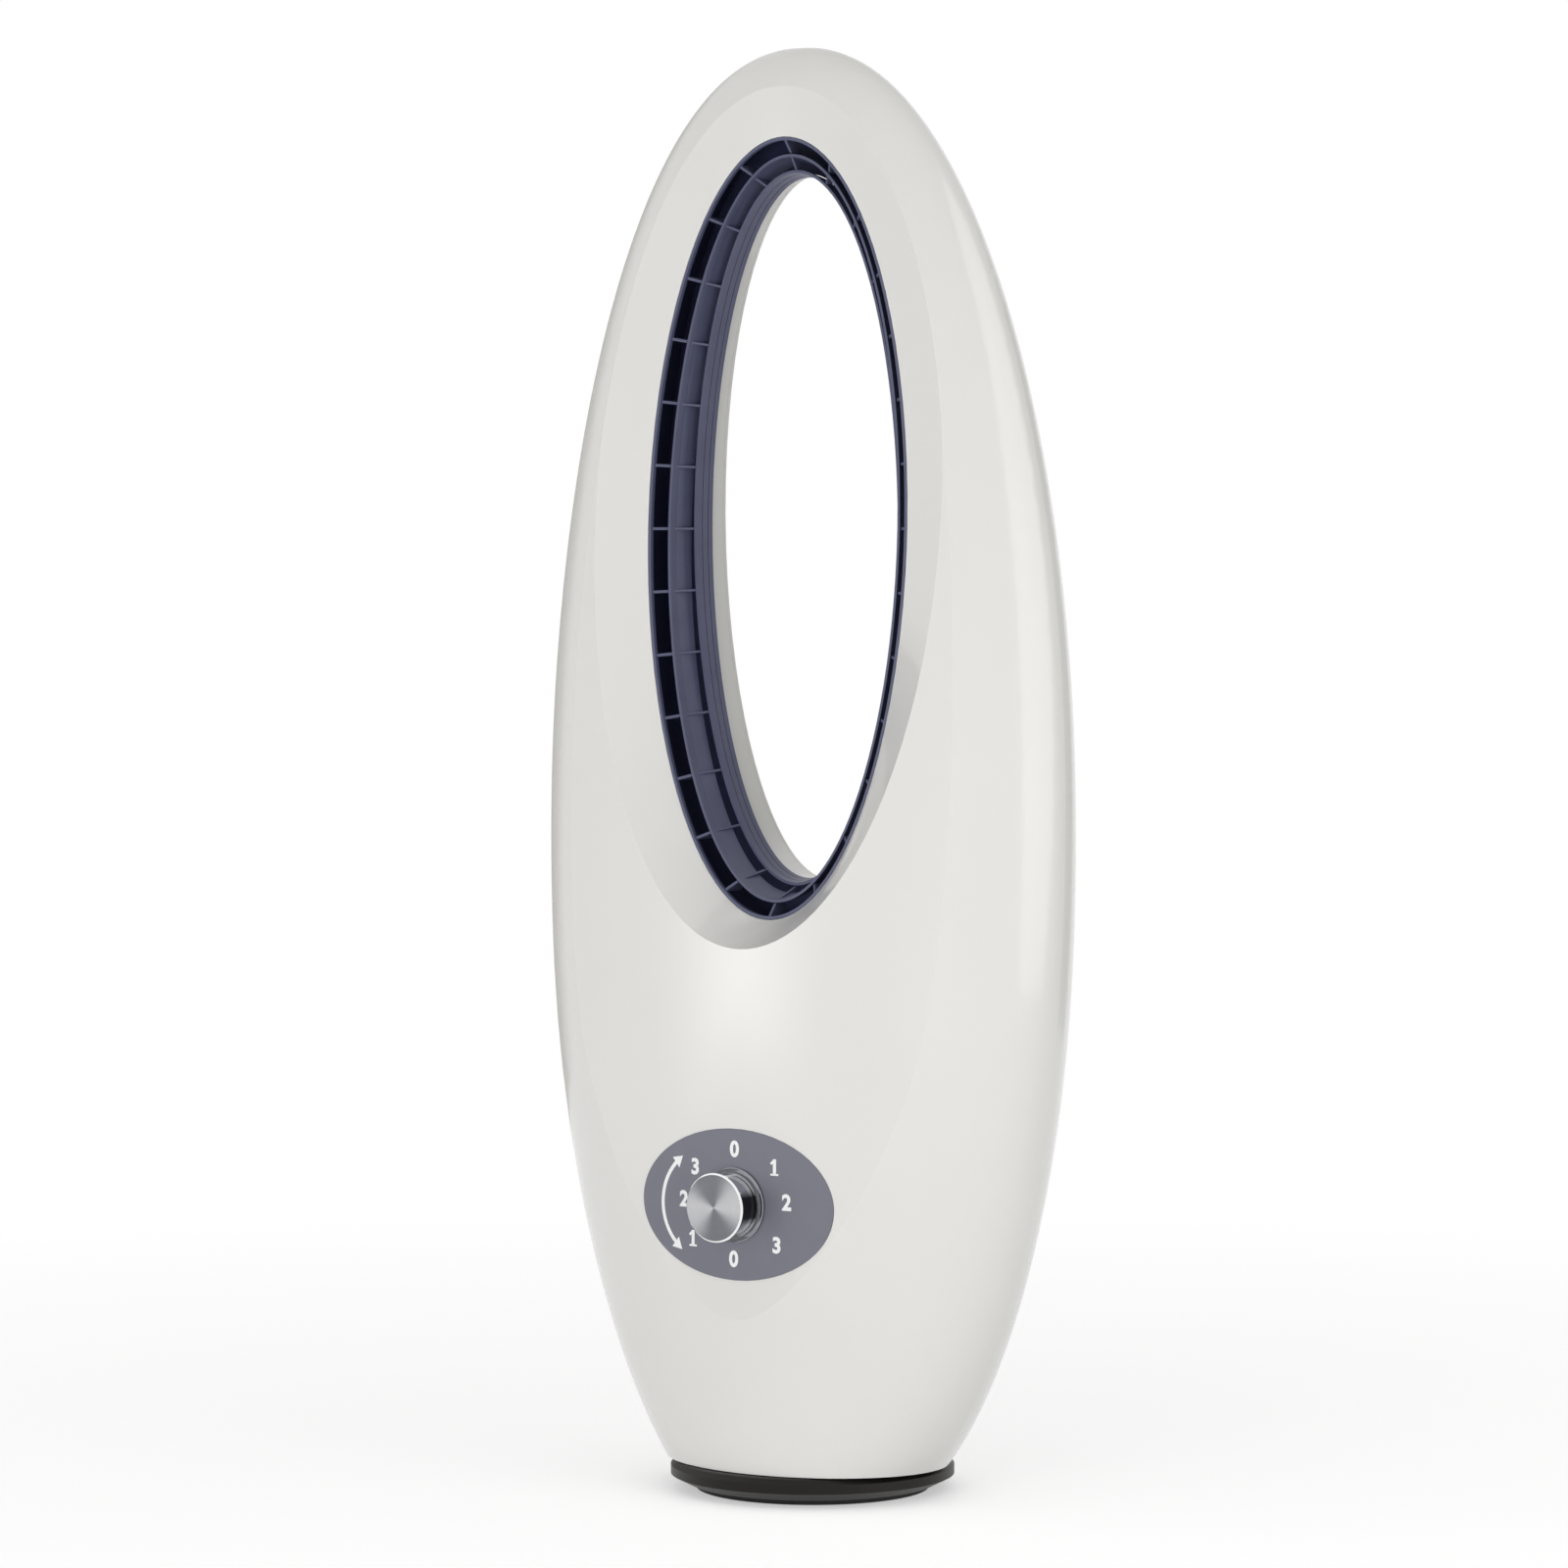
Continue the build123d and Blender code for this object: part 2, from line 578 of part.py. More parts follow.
def front_shell(wall, core):
    """Front half with its screw posts, floor blocks, dial pad and panel pocket."""
    deep = 4 * BODY_HALF_DEPTH
    tall = 3 * OVERALL_HEIGHT
    ahead = Pos(0, PARTING_Y - PARTING_GAP - deep / 2, OVERALL_HEIGHT / 2) * Box(tall, deep, tall)
    shell = wall & (ahead - rear_dish(SHELL_WALL + PARTING_GAP))
    pad_y = SWITCH_Y - SWITCH_PAD - SHELL_WALL / 2
    posts = boss_posts(BOSS_RADIUS, -2 * BODY_HALF_DEPTH, BOSS_MEET_Y)
    blocks = [floor_block(x, y) for x, y in floor_screw_places() if y < PARTING_Y]
    shell = shell + (core & Compound(posts + blocks)).solids()
    shell = shell + rod_y(SWITCH_PAD_RADIUS, 0.0, DIAL_Z, pad_y, SWITCH_Y)
    bores = boss_posts(SCREW_RADIUS + SCREW_FIT, BOSS_MEET_Y - SHELL_SCREW_GRIP, BOSS_MEET_Y + 1.0)
    pocket = panel_plug(PANEL_FIT) - behind_face(PANEL_RECESS)
    hole = rod_y(BUSHING_RADIUS + SCREW_FIT, 0.0, DIAL_Z, 2 * FACE_LOW_Y, SWITCH_Y + 1.0)
    return shell - bores - pocket - hole


def rear_shell(wall, core):
    """Rear half with its funnel, screw cups, floor block and intake slots."""
    deep = 4 * BODY_HALF_DEPTH
    tall = 3 * OVERALL_HEIGHT
    behind = Pos(0, PARTING_Y + deep / 2, OVERALL_HEIGHT / 2) * Box(tall, deep, tall)
    shell = wall & (behind + rear_dish(SHELL_WALL + PARTING_GAP / 2))
    cups = boss_posts(BOSS_RADIUS + CUP_WALL, BOSS_MEET_Y + PARTING_GAP, 2 * BODY_HALF_DEPTH)
    blocks = [floor_block(x, y) for x, y in floor_screw_places() if y > PARTING_Y]
    shell = shell + (core & Compound(cups + blocks)).solids()
    seat_y = BOSS_MEET_Y + CUP_SEAT
    wells = boss_posts(SCREW_HEAD_RADIUS + HEAD_CLEARANCE, seat_y, 2 * BODY_HALF_DEPTH)
    bores = boss_posts(SCREW_RADIUS + SCREW_FIT, 0.0, seat_y + 1.0)
    return shell - wells - bores - intake_slots()


def shells():
    """Both shells, parted behind the widest outline."""
    wall = outer_form() - cavity()
    core = egg(SHELL_WALL / 2, FOOT_Z) & behind_face(SHELL_WALL / 2)
    return front_shell(wall, core), rear_shell(wall, core)


def intake_slots():
    """Rows of slots in the back of the body, where the air goes in."""
    pitch = SLOT_WIDTH + SLOT_BRIDGE
    slots = []
    for row in range(SLOT_ROWS):
        z = SLOT_LOW_Z + row * SLOT_PITCH
        for column in range(SLOT_COLUMNS):
            x = (column - (SLOT_COLUMNS - 1) / 2) * pitch
            centre = Pos(x, PARTING_Y + BODY_HALF_DEPTH, z)
            slots.append(centre * Box(SLOT_WIDTH, 2 * BODY_HALF_DEPTH - PARTING_Y, SLOT_HEIGHT))
    return slots


def intake_filter():
    """Thin dust screen that lies inside the intake slots."""
    gap = SHELL_WALL + FILTER_GAP
    sheet = egg(gap, FOOT_Z) - egg(gap + FILTER_THICKNESS, FOOT_Z)
    width = SLOT_COLUMNS * (SLOT_WIDTH + SLOT_BRIDGE) - SLOT_BRIDGE
    height = (SLOT_ROWS - 1) * SLOT_PITCH + SLOT_HEIGHT
    low_z = SLOT_LOW_Z - SLOT_HEIGHT / 2
    centre = Pos(0, PARTING_Y + BODY_HALF_DEPTH, low_z + height / 2)
    bounds = centre * Box(width + FILTER_BORDER, 2 * BODY_HALF_DEPTH, height + FILTER_BORDER)
    return sheet & bounds


def shell_screws():
    """Screws that pull the rear shell onto the front shell."""
    seat_y = BOSS_MEET_Y + CUP_SEAT
    screws = []
    for x, z in boss_places():
        shank = rod_y(SCREW_RADIUS, x, z, BOSS_MEET_Y - SHELL_SCREW_GRIP + 1.0, seat_y)
        screws.append(shank + rod_y(SCREW_HEAD_RADIUS, x, z, seat_y, seat_y + SCREW_HEAD))
    return Compound(screws)


# ================================================================ outlet grille
def guide_angles():
    """Oval angles that part the rim into equal lengths of arc."""
    steps = 1440
    lengths = [0.0]
    for k in range(steps):
        angle = 2 * math.pi * (k + 0.5) / steps
        speed = math.hypot(RIM_HALF_WIDTH * math.sin(angle), RIM_HALF_HEIGHT * math.cos(angle))
        lengths.append(lengths[-1] + speed)
    angles = []
    for index in range(GUIDE_COUNT):
        target = lengths[-1] * (index / GUIDE_COUNT + 0.25) % lengths[-1]
        k = min(range(steps), key=lambda place: abs(lengths[place] - target))
        angles.append(2 * math.pi * k / steps)
    return angles


def guide_ribs(corners_at, thickness):
    """Thin plates square to the rim, with corners given as step in and set back."""
    ribs = []
    for angle in guide_angles():
        x = RIM_HALF_WIDTH * math.cos(angle)
        z = RIM_CENTRE_Z + RIM_HALF_HEIGHT * math.sin(angle)
        inward = Vector(-math.cos(angle) / RIM_HALF_WIDTH, 0, -math.sin(angle) / RIM_HALF_HEIGHT).normalized()
        share = -inward.X * math.cos(angle) - inward.Z * math.sin(angle)
        corners = [(step * share, back) for step, back in corners_at(z)]
        plane = Plane(origin=(x, rim_y(z), z), x_dir=inward, z_dir=inward.cross(Vector(0, 1, 0)))
        face = make_face(plane * Polyline(*corners, close=True))
        ribs.append(extrude(face, thickness / 2, both=True))
    return ribs


def oval_loft(*rings):
    """Solid through rim ovals, each given as growth and distance behind the rim."""
    return Solid.make_loft([rim_oval(grow, back) for grow, back in rings], ruled=True)


def outlet_frame():
    """Outer band of the grille with its ribs."""
    bore = -RIM_FLANGE
    band = oval_loft((-GRILLE_FIT, 0.0), (-GRILLE_FIT, OUTER_BAND_DEPTH))
    band = band - oval_loft((bore, -1.0), (bore, OUTER_BAND_DEPTH + 1.0))
    root = (RIM_FLANGE + GRILLE_FIT) / 2
    tip = BLADE_STEP_IN - GRILLE_FIT
    corners = [
        (root, RIB_SET_BACK),
        (root, OUTER_RIB_DEPTH),
        (tip, OUTER_RIB_DEPTH),
        (tip, BLADE_SET_BACK + RIB_SET_BACK),
    ]
    return band + guide_ribs(lambda z: corners, OUTER_RIB)


def guide_blade():
    """Middle ring, swept inwards, with the ribs that reach for the inner ring."""
    front = BLADE_SET_BACK
    back = BLADE_SET_BACK + BLADE_DEPTH
    bend = BLADE_SET_BACK + BLADE_DEPTH / 3
    lip = BLADE_STEP_IN
    early = lip + BLADE_SWEEP / 5
    late = lip + BLADE_SWEEP
    wall = GRILLE_WALL
    blade = oval_loft((-lip, front), (-early, bend), (-late, back))
    blade = blade - oval_loft((-lip - wall, front - 0.01), (-early - wall, bend), (-late - wall, back + 0.01))

    def corners_at(z):
        ring_back = INNER_FRONT_Y - rim_y(z)
        return [
            (lip + wall / 2, front + RIB_SET_BACK),
            (early + wall / 2, bend),
            (late + wall / 2, back - RIB_SET_BACK),
            (INNER_STEP_IN - GRILLE_FIT, ring_back + INNER_RIB_SEAT),
            (INNER_STEP_IN - GRILLE_FIT, ring_back + GRILLE_FIT),
        ]

    return blade + guide_ribs(corners_at, INNER_RIB)


def inner_ring():
    """Innermost band of the grille, with two fine grooves round its bore."""
    wall = GRILLE_WALL
    front_grow = -INNER_STEP_IN
    rear_grow = front_grow - INNER_TAPER
    outer = [flat_oval(front_grow, INNER_FRONT_Y), flat_oval(rear_grow, INNER_REAR_Y)]
    bore = [flat_oval(front_grow - wall, INNER_FRONT_Y), flat_oval(rear_grow - wall, INNER_REAR_Y)]
    band = Solid.make_loft(outer, ruled=True) - Solid.make_loft(bore, ruled=True)
    depth = INNER_REAR_Y - INNER_FRONT_Y
    for share in RING_GROOVE_SHARES:
        y = INNER_FRONT_Y + depth * share
        grow = front_grow - INNER_TAPER * share - wall + RING_GROOVE_DEPTH
        band = band - through_oval(grow, y, y + RING_GROOVE_WIDTH)
    return band


def duct_form(grow):
    """Round-backed channel form round the hole, from the rim to its rear wall."""
    rings = [
        rim_oval(DUCT_FRONT_STEP + grow, DUCT_FRONT_BACK),
        rim_oval(DUCT_STEP_OUT + grow, DUCT_SHOULDER_BACK),
        flat_oval(DUCT_STEP_OUT + grow, DUCT_REAR_Y + grow),
    ]
    return Solid.make_loft(rings, ruled=True)


def air_duct():
    """Dark channel round the hole that feeds the grille's slots."""
    shell = duct_form(0.0) - duct_form(-DUCT_WALL)
    hole_grow = GRILLE_FIT - INNER_STEP_IN - INNER_TAPER
    hole = through_oval(hole_grow, DUCT_REAR_Y - 2 * DUCT_WALL, DUCT_REAR_Y + 1.0)
    mouth_z = RIM_CENTRE_Z - RIM_HALF_HEIGHT - DUCT_STEP_OUT
    depth = 2 * (ADAPTER_HALF_DEPTH - ADAPTER_WALL)
    mouth = Pos(0, ADAPTER_SHIFT, mouth_z) * Box(2 * DUCT_MOUTH_HALF_WIDTH, depth, DUCT_STEP_OUT)
    return shell - hole - mouth


# ================================================================ controls
def control_panel():
    """Oval inlay plate that follows the crowned face."""
    plate = panel_plug(0.0) & behind_face(-PANEL_PROUD)
    plate = plate - behind_face(PANEL_RECESS - FACE_PLAY)
    return plate - rod_y(BUSHING_RADIUS + SCREW_FIT, 0.0, DIAL_Z, 2 * FACE_LOW_Y, 0.0)


def knob_collar():
    """Stepped trim ring between the panel and the knob."""
    step_y = COLLAR_BACK_Y - COLLAR_THICKNESS
    return lathe_y([
        (COLLAR_INNER_RADIUS, COLLAR_BACK_Y),
        (COLLAR_RADIUS, COLLAR_BACK_Y),
        (COLLAR_RADIUS, step_y + COLLAR_EDGE),
        (COLLAR_RADIUS - COLLAR_EDGE, step_y),
        (COLLAR_STEP_RADIUS, step_y),
        (COLLAR_STEP_RADIUS - COLLAR_EDGE, COLLAR_FRONT_Y),
        (COLLAR_INNER_RADIUS, COLLAR_FRONT_Y),
    ], DIAL_Z)


def knob():
    """Turned knob: flat face, thin band, and a narrower waist behind it."""
    band_y = KNOB_FACE_Y + KNOB_EDGE + KNOB_BAND
    waist_y = band_y + KNOB_NECK
    neck_radius = KNOB_WAIST_RADIUS + KNOB_NECK / 5
    recess_y = KNOB_BACK_Y - KNOB_RECESS_DEPTH
    return lathe_y([
        (0.0, KNOB_FACE_Y),
        (KNOB_RADIUS - KNOB_EDGE, KNOB_FACE_Y),
        (KNOB_RADIUS, KNOB_FACE_Y + KNOB_EDGE),
        (KNOB_RADIUS, band_y),
        (neck_radius, waist_y - KNOB_NECK / 2),
        (KNOB_WAIST_RADIUS, waist_y),
        (KNOB_WAIST_RADIUS, KNOB_BACK_Y),
        (KNOB_RECESS_RADIUS, KNOB_BACK_Y),
        (KNOB_RECESS_RADIUS, recess_y),
        (DIAL_SHAFT_RADIUS + FACE_PLAY, recess_y),
        (DIAL_SHAFT_RADIUS + FACE_PLAY, KNOB_FACE_Y + KNOB_FACE_THICKNESS),
        (0.0, KNOB_FACE_Y + KNOB_FACE_THICKNESS),
    ], DIAL_Z)


def dial_shaft():
    """Shaft that carries the knob and turns in the switch."""
    back_y = SWITCH_Y + SWITCH_DEPTH / 2
    return rod_y(DIAL_SHAFT_RADIUS, 0.0, DIAL_Z, KNOB_FACE_Y + KNOB_FACE_THICKNESS + FACE_PLAY, back_y)


def rotary_switch():
    """Selector switch behind the panel, with its threaded bushing and tags."""
    body = rod_y(SWITCH_RADIUS, 0.0, DIAL_Z, SWITCH_Y, SWITCH_Y + SWITCH_DEPTH)
    body = body + rod_y(BUSHING_RADIUS, 0.0, DIAL_Z, BUSHING_END_Y, SWITCH_Y + 1.0)
    well_y = SWITCH_Y + SWITCH_DEPTH / 2 + FACE_PLAY
    body = body - rod_y(DIAL_SHAFT_RADIUS + RUNNING_FIT, 0.0, DIAL_Z, BUSHING_END_Y - 1.0, well_y)
    tag_y = SWITCH_Y + SWITCH_DEPTH + SWITCH_TAG[1] / 3
    for x, z in turned_points(SWITCH_TAGS, 0.7 * SWITCH_RADIUS):
        body = body + Pos(x, tag_y, DIAL_Z + z) * Box(*SWITCH_TAG)
    return body


def switch_nut():
    """Hexagon nut on the switch's bushing."""
    outline = RegularPolygon(NUT_ACROSS / 2, 6, major_radius=False) - Circle(BUSHING_RADIUS + FACE_PLAY)
    return Pos(0, COLLAR_BACK_Y, DIAL_Z) * Rot(90, 0, 0) * extrude(outline, NUT_THICKNESS)


# ================================================================ turning base
def base_screw_places():
    """Where the cover and the plate are screwed together."""
    return turned_points(4, BASE_SCREW_CIRCLE, 45.0)


PLATE_TOP_Z = FOOT_THICKNESS + BASE_PLATE_THICKNESS
COVER_INNER_Z = BASE_HEIGHT - BASE_WALL


def rubber_foot():
    """One-piece rubber mat, flat underneath, with wells for the screw heads."""
    foot = disc(FOOT_RADIUS, 0.0, FOOT_THICKNESS)
    for place in base_screw_places():
        foot = foot - disc(SCREW_HEAD_RADIUS + HEAD_CLEARANCE, -1.0, FOOT_THICKNESS + 1.0, place)
    return foot


def base_plate():
    """Round plate that closes the base underneath."""
    plate = disc(BASE_PLATE_RADIUS, FOOT_THICKNESS, PLATE_TOP_Z)
    for place in base_screw_places():
        plate = plate - disc(SCREW_RADIUS + SCREW_FIT, 0.0, BASE_HEIGHT, place)
    return plate


def base_cover():
    """Round cover of the base, undercut towards the floor, with screw bosses."""
    low = BASE_RADIUS - BASE_UNDERCUT
    seat = BASE_PLATE_RADIUS + COVER_FIT
    hub = PIVOT_RADIUS + COVER_FIT
    shoulder_z = FOOT_THICKNESS + BASE_UNDERCUT_RISE
    outline = Polyline(
        (seat, FOOT_THICKNESS),
        (low, FOOT_THICKNESS),
        (BASE_RADIUS, shoulder_z),
        (BASE_RADIUS, BASE_HEIGHT - BASE_BEAD),
        (BASE_RADIUS - BASE_BEAD, BASE_HEIGHT),
        (hub, BASE_HEIGHT),
        (hub, COVER_INNER_Z),
        (BASE_RADIUS - BASE_BEAD - 1.0, COVER_INNER_Z),
        (BASE_RADIUS - BASE_WALL, COVER_INNER_Z - COVER_HAUNCH),
        (BASE_RADIUS - BASE_WALL, shoulder_z + COVER_HAUNCH),
        (seat, PLATE_TOP_Z + COVER_FIT),
        close=True,
    )
    cover = revolve(make_face(Plane.XZ * outline), axis=Axis.Z)
    bead = cover.edges().filter_by(GeomType.CIRCLE).group_by(Axis.Z)[-1].sort_by(SortBy.LENGTH)[-1]
    cover = fillet(bead, 0.6 * BASE_BEAD)
    for place in base_screw_places():
        cover = cover + disc(BOSS_RADIUS, PLATE_TOP_Z, COVER_INNER_Z + BASE_WALL / 5, place)
        cover = cover - disc(SCREW_RADIUS + SCREW_FIT, 0.0, COVER_INNER_Z, place)
    for place in pivot_screw_places():
        cover = cover - disc(SCREW_RADIUS + SCREW_FIT, 0.0, BASE_HEIGHT - BASE_WALL / 4, place)
    bore = rod_y(GLAND_RADIUS + SCREW_FIT, 0.0, GLAND_Z, BASE_RADIUS / 2, 2 * BASE_RADIUS)
    return cover - bore


def ballast():
    """Steel weight that keeps the tall loop steady."""
    weight = ring(WEIGHT_RADIUS, WEIGHT_BORE_RADIUS, PLATE_TOP_Z, PLATE_TOP_Z + WEIGHT_THICKNESS)
    for place in base_screw_places():
        weight = weight - disc(BOSS_RADIUS + WEIGHT_FIT, 0.0, BASE_HEIGHT, place)
    return weight


def base_screws():
    """Screws from underneath that hold the base plate to the cover."""
    screws = []
    for place in base_screw_places():
        shank = disc(SCREW_RADIUS, FOOT_THICKNESS, COVER_INNER_Z - 1.0, place)
        screws.append(shank + disc(SCREW_HEAD_RADIUS, FOOT_THICKNESS - SCREW_HEAD, FOOT_THICKNESS, place))
    return Compound(screws)


GLAND_Z = COVER_INNER_Z - GLAND_RADIUS - SCREW_FIT


def cord_gland():
    """Rubber bush in the back of the base where a mains lead would go in."""
    skin = BASE_RADIUS
    outside = skin + GLAND_FLANGE_THICKNESS
    sleeve = rod_y(GLAND_RADIUS, 0.0, GLAND_Z, skin - GLAND_SLEEVE, outside)
    flange = rod_y(GLAND_RADIUS + GLAND_FLANGE, 0.0, GLAND_Z, skin + FACE_PLAY, outside)
    return sleeve + flange - rod_y(GLAND_BORE_RADIUS, 0.0, GLAND_Z, 0.0, 2 * skin)


def pivot_screw_places():
    """Where the pivot's flange is screwed to the cover."""
    return turned_points(4, (PIVOT_RADIUS + PIVOT_FLANGE_RADIUS) / 2, 0.0)


WASHER_Z = FLOOR_TOP_Z + FACE_PLAY
GEAR_Z = WASHER_Z + WASHER_THICKNESS + FACE_PLAY
LOCK_NUT_Z = GEAR_Z + GEAR_THICKNESS + FACE_PLAY
PIVOT_TOP_Z = LOCK_NUT_Z + LOCK_NUT_THICKNESS + PIVOT_TUBE_PROUD
PIVOT_LOW_Z = COVER_INNER_Z - PIVOT_FLANGE_THICKNESS


def pivot_tube():
    """Hollow post on which the whole body turns; the leads pass through it."""
    tube = disc(PIVOT_RADIUS, PIVOT_LOW_Z, PIVOT_TOP_Z)
    tube = tube + disc(PIVOT_FLANGE_RADIUS, PIVOT_LOW_Z, COVER_INNER_Z)
    tube = tube - disc(PIVOT_BORE_RADIUS, 0.0, 2 * PIVOT_TOP_Z)
    for place in pivot_screw_places():
        tube = tube - disc(SCREW_RADIUS + SCREW_FIT, 0.0, BASE_HEIGHT, place)
    return tube


def pivot_screws():
    """Screws through the pivot's flange into the base cover."""
    screws = []
    for place in pivot_screw_places():
        shank = disc(SCREW_RADIUS, PIVOT_LOW_Z, BASE_HEIGHT - 1.0, place)
        screws.append(shank + disc(SCREW_HEAD_RADIUS, PIVOT_LOW_Z - SCREW_HEAD, PIVOT_LOW_Z, place))
    return Compound(screws)


def race(low_z):
    """Bearing ring with a shallow groove for the balls."""
    plate = ring(BALL_CIRCLE_RADIUS + RACE_HALF_WIDTH, BALL_CIRCLE_RADIUS - RACE_HALF_WIDTH,
                 low_z, low_z + RACE_THICKNESS)
    return plate - Pos(0, 0, BALL_Z) * Torus(BALL_CIRCLE_RADIUS, BALL_RADIUS + BALL_PLAY)


def ball_cage():
    """Ring that keeps the balls apart."""
    cage = ring(BALL_CIRCLE_RADIUS + CAGE_HALF_WIDTH, BALL_CIRCLE_RADIUS - CAGE_HALF_WIDTH,
                BALL_Z - CAGE_THICKNESS / 2, BALL_Z + CAGE_THICKNESS / 2)
    for place in turned_points(BALL_COUNT, BALL_CIRCLE_RADIUS):
        cage = cage - disc(BALL_RADIUS + CAGE_FIT, BALL_Z - CAGE_THICKNESS, BALL_Z + CAGE_THICKNESS, place)
    return cage


def bearing_balls():
    """Steel balls that carry the turning body."""
    return Compound([Pos(x, y, BALL_Z) * Sphere(BALL_RADIUS)
                     for x, y in turned_points(BALL_COUNT, BALL_CIRCLE_RADIUS)])


# ================================================================ swing drive
def involute(angle):
    """Angle rolled off by an involute whose pressure angle is this."""
    return math.tan(angle) - angle


def gear_outline(teeth, turn_deg):
    """Outline of a spur gear with involute flanks."""
    pitch_r = GEAR_MODULE * teeth / 2
    base_r = pitch_r * math.cos(math.radians(PRESSURE_ANGLE))
    tip_r = pitch_r + TOOTH_TIP * GEAR_MODULE
    root_r = pitch_r - TOOTH_ROOT * GEAR_MODULE
    half = math.pi / (2 * teeth) - GEAR_BACKLASH / (4 * pitch_r) + involute(math.radians(PRESSURE_ANGLE))
    start_r = max(base_r, root_r)
    flank = [(root_r, half - involute(math.acos(base_r / start_r)))]
    for k in range(4):
        r = start_r + (tip_r - start_r) * k / 3
        flank.append((r, half - involute(math.acos(base_r / r))))
    if start_r == root_r:
        flank = flank[1:]
    points = []
    for tooth in range(teeth):
        centre = math.radians(turn_deg) + 2 * math.pi * tooth / teeth
        for r, off in flank:
            points.append((r * math.cos(centre - off), r * math.sin(centre - off)))
        for r, off in reversed(flank):
            points.append((r * math.cos(centre + off), r * math.sin(centre + off)))
    return make_face(Polyline(*points, close=True))


GEAR_CENTRES = GEAR_MODULE * (RING_GEAR_TEETH + PINION_TEETH) / 2
SWING_PLATE_Z = GEAR_Z + GEAR_THICKNESS + SWING_PLATE_GAP
SWING_SHAFT_TOP_Z = SWING_PLATE_Z + SWING_PLATE_THICKNESS + SWING_SHAFT_SEAT
SWING_MOTOR_Z = SWING_PLATE_Z + SWING_PLATE_THICKNESS
EAR_PLACES = [(GEAR_CENTRES, SWING_EAR_SPACING), (GEAR_CENTRES, -SWING_EAR_SPACING)]


def fixed_gear():
    """Gear locked to the pivot, round which the body walks."""
    blank = extrude(gear_outline(RING_GEAR_TEETH, 0.0), GEAR_THICKNESS)
    return Pos(0, 0, GEAR_Z) * blank - disc(PIVOT_RADIUS + FACE_PLAY, 0.0, 2 * LOCK_NUT_Z)


def pinion():
    """Small gear on the swing motor's shaft."""
    blank = extrude(gear_outline(PINION_TEETH, 180.0 / PINION_TEETH), GEAR_THICKNESS - 2 * PINION_INSET)
    bore = disc(SWING_SHAFT_RADIUS + PRESS_FIT, 0.0, 2 * LOCK_NUT_Z, (GEAR_CENTRES, 0.0))
    return Pos(GEAR_CENTRES, 0, GEAR_Z + PINION_INSET) * blank - bore


def swing_shaft():
    """Output shaft of the swing motor."""
    return disc(SWING_SHAFT_RADIUS, GEAR_Z + PINION_INSET, SWING_SHAFT_TOP_Z, (GEAR_CENTRES, 0.0))


def swing_motor():
    """Slow synchronous motor with its mounting ears."""
    centre = (GEAR_CENTRES, 0.0)
    body = disc(SWING_MOTOR_RADIUS, SWING_MOTOR_Z, SWING_MOTOR_Z + SWING_MOTOR_HEIGHT, centre)
    body = body + disc(SWING_MOTOR_RADIUS + SWING_RIM, SWING_PLATE_Z, SWING_MOTOR_Z, centre)
    for place in EAR_PLACES:
        body = body + disc(POST_RADIUS + SWING_EAR_LEDGE, SWING_PLATE_Z, SWING_MOTOR_Z, place)
    for place in EAR_PLACES:
        body = body - disc(SCREW_RADIUS + SCREW_FIT, SWING_PLATE_Z - 1.0, SWING_MOTOR_Z + 0.01, place)
    well = disc(SWING_SHAFT_RADIUS + RUNNING_FIT, 0.0, SWING_SHAFT_TOP_Z + FACE_PLAY, centre)
    return body - well


def swing_motor_screws():
    """Screws through the motor's ears into the floor's posts."""
    screws = []
    for x, y in EAR_PLACES:
        shank = disc(SCREW_RADIUS, FLOOR_TOP_Z + 1.0, SWING_MOTOR_Z, (x, y))
        screws.append(shank + disc(SCREW_HEAD_RADIUS, SWING_MOTOR_Z, SWING_MOTOR_Z + SCREW_HEAD, (x, y)))
    return Compound(screws)


def thrust_washer():
    """Slippery washer between the floor and the fixed gear."""
    return ring(WASHER_RADIUS, PIVOT_RADIUS + COVER_FIT, WASHER_Z, WASHER_Z + WASHER_THICKNESS)


def lock_nut():
    """Nut that holds the body down on the pivot."""
    outline = RegularPolygon(LOCK_NUT_RADIUS, 6) - Circle(PIVOT_RADIUS + FACE_PLAY)
    return Pos(0, 0, LOCK_NUT_Z) * extrude(outline, LOCK_NUT_THICKNESS)


def body_floor():
    """Floor of the turning body, with its hub bore and motor posts."""
    plate = egg(SHELL_WALL + FLOOR_FIT, FOOT_Z - 4.0) & behind_face(SHELL_WALL + FLOOR_FIT)
    wide = 4 * BODY_HALF_WIDTH
    floor = plate & Pos(0, 0, FLOOR_Z + FLOOR_THICKNESS / 2) * Box(wide, wide, FLOOR_THICKNESS)
    for place in EAR_PLACES:
        floor = floor + disc(POST_RADIUS, FLOOR_Z + FLOOR_THICKNESS / 2, SWING_PLATE_Z, place)
        floor = floor - disc(SCREW_RADIUS + SCREW_FIT, FLOOR_TOP_Z, 2 * SWING_PLATE_Z, place)
    for place in floor_screw_places():
        floor = floor - disc(SCREW_RADIUS + SCREW_FIT, 0.0, 2 * FLOOR_Z, place)
    return floor - disc(PIVOT_RADIUS + RUNNING_FIT, 0.0, 2 * FLOOR_Z)


def floor_screws():
    """Screws from below that hold the floor to the shells."""
    screws = []
    for place in floor_screw_places():
        shank = disc(SCREW_RADIUS, FLOOR_Z, FLOOR_TOP_Z + FLOOR_SCREW_REACH, place)
        screws.append(shank + disc(SCREW_HEAD_RADIUS, FLOOR_Z - SCREW_HEAD, FLOOR_Z, place))
    return Compound(screws)


# ================================================================ blower
LEG_ANGLES = (60.0, 120.0, 240.0, 300.0)


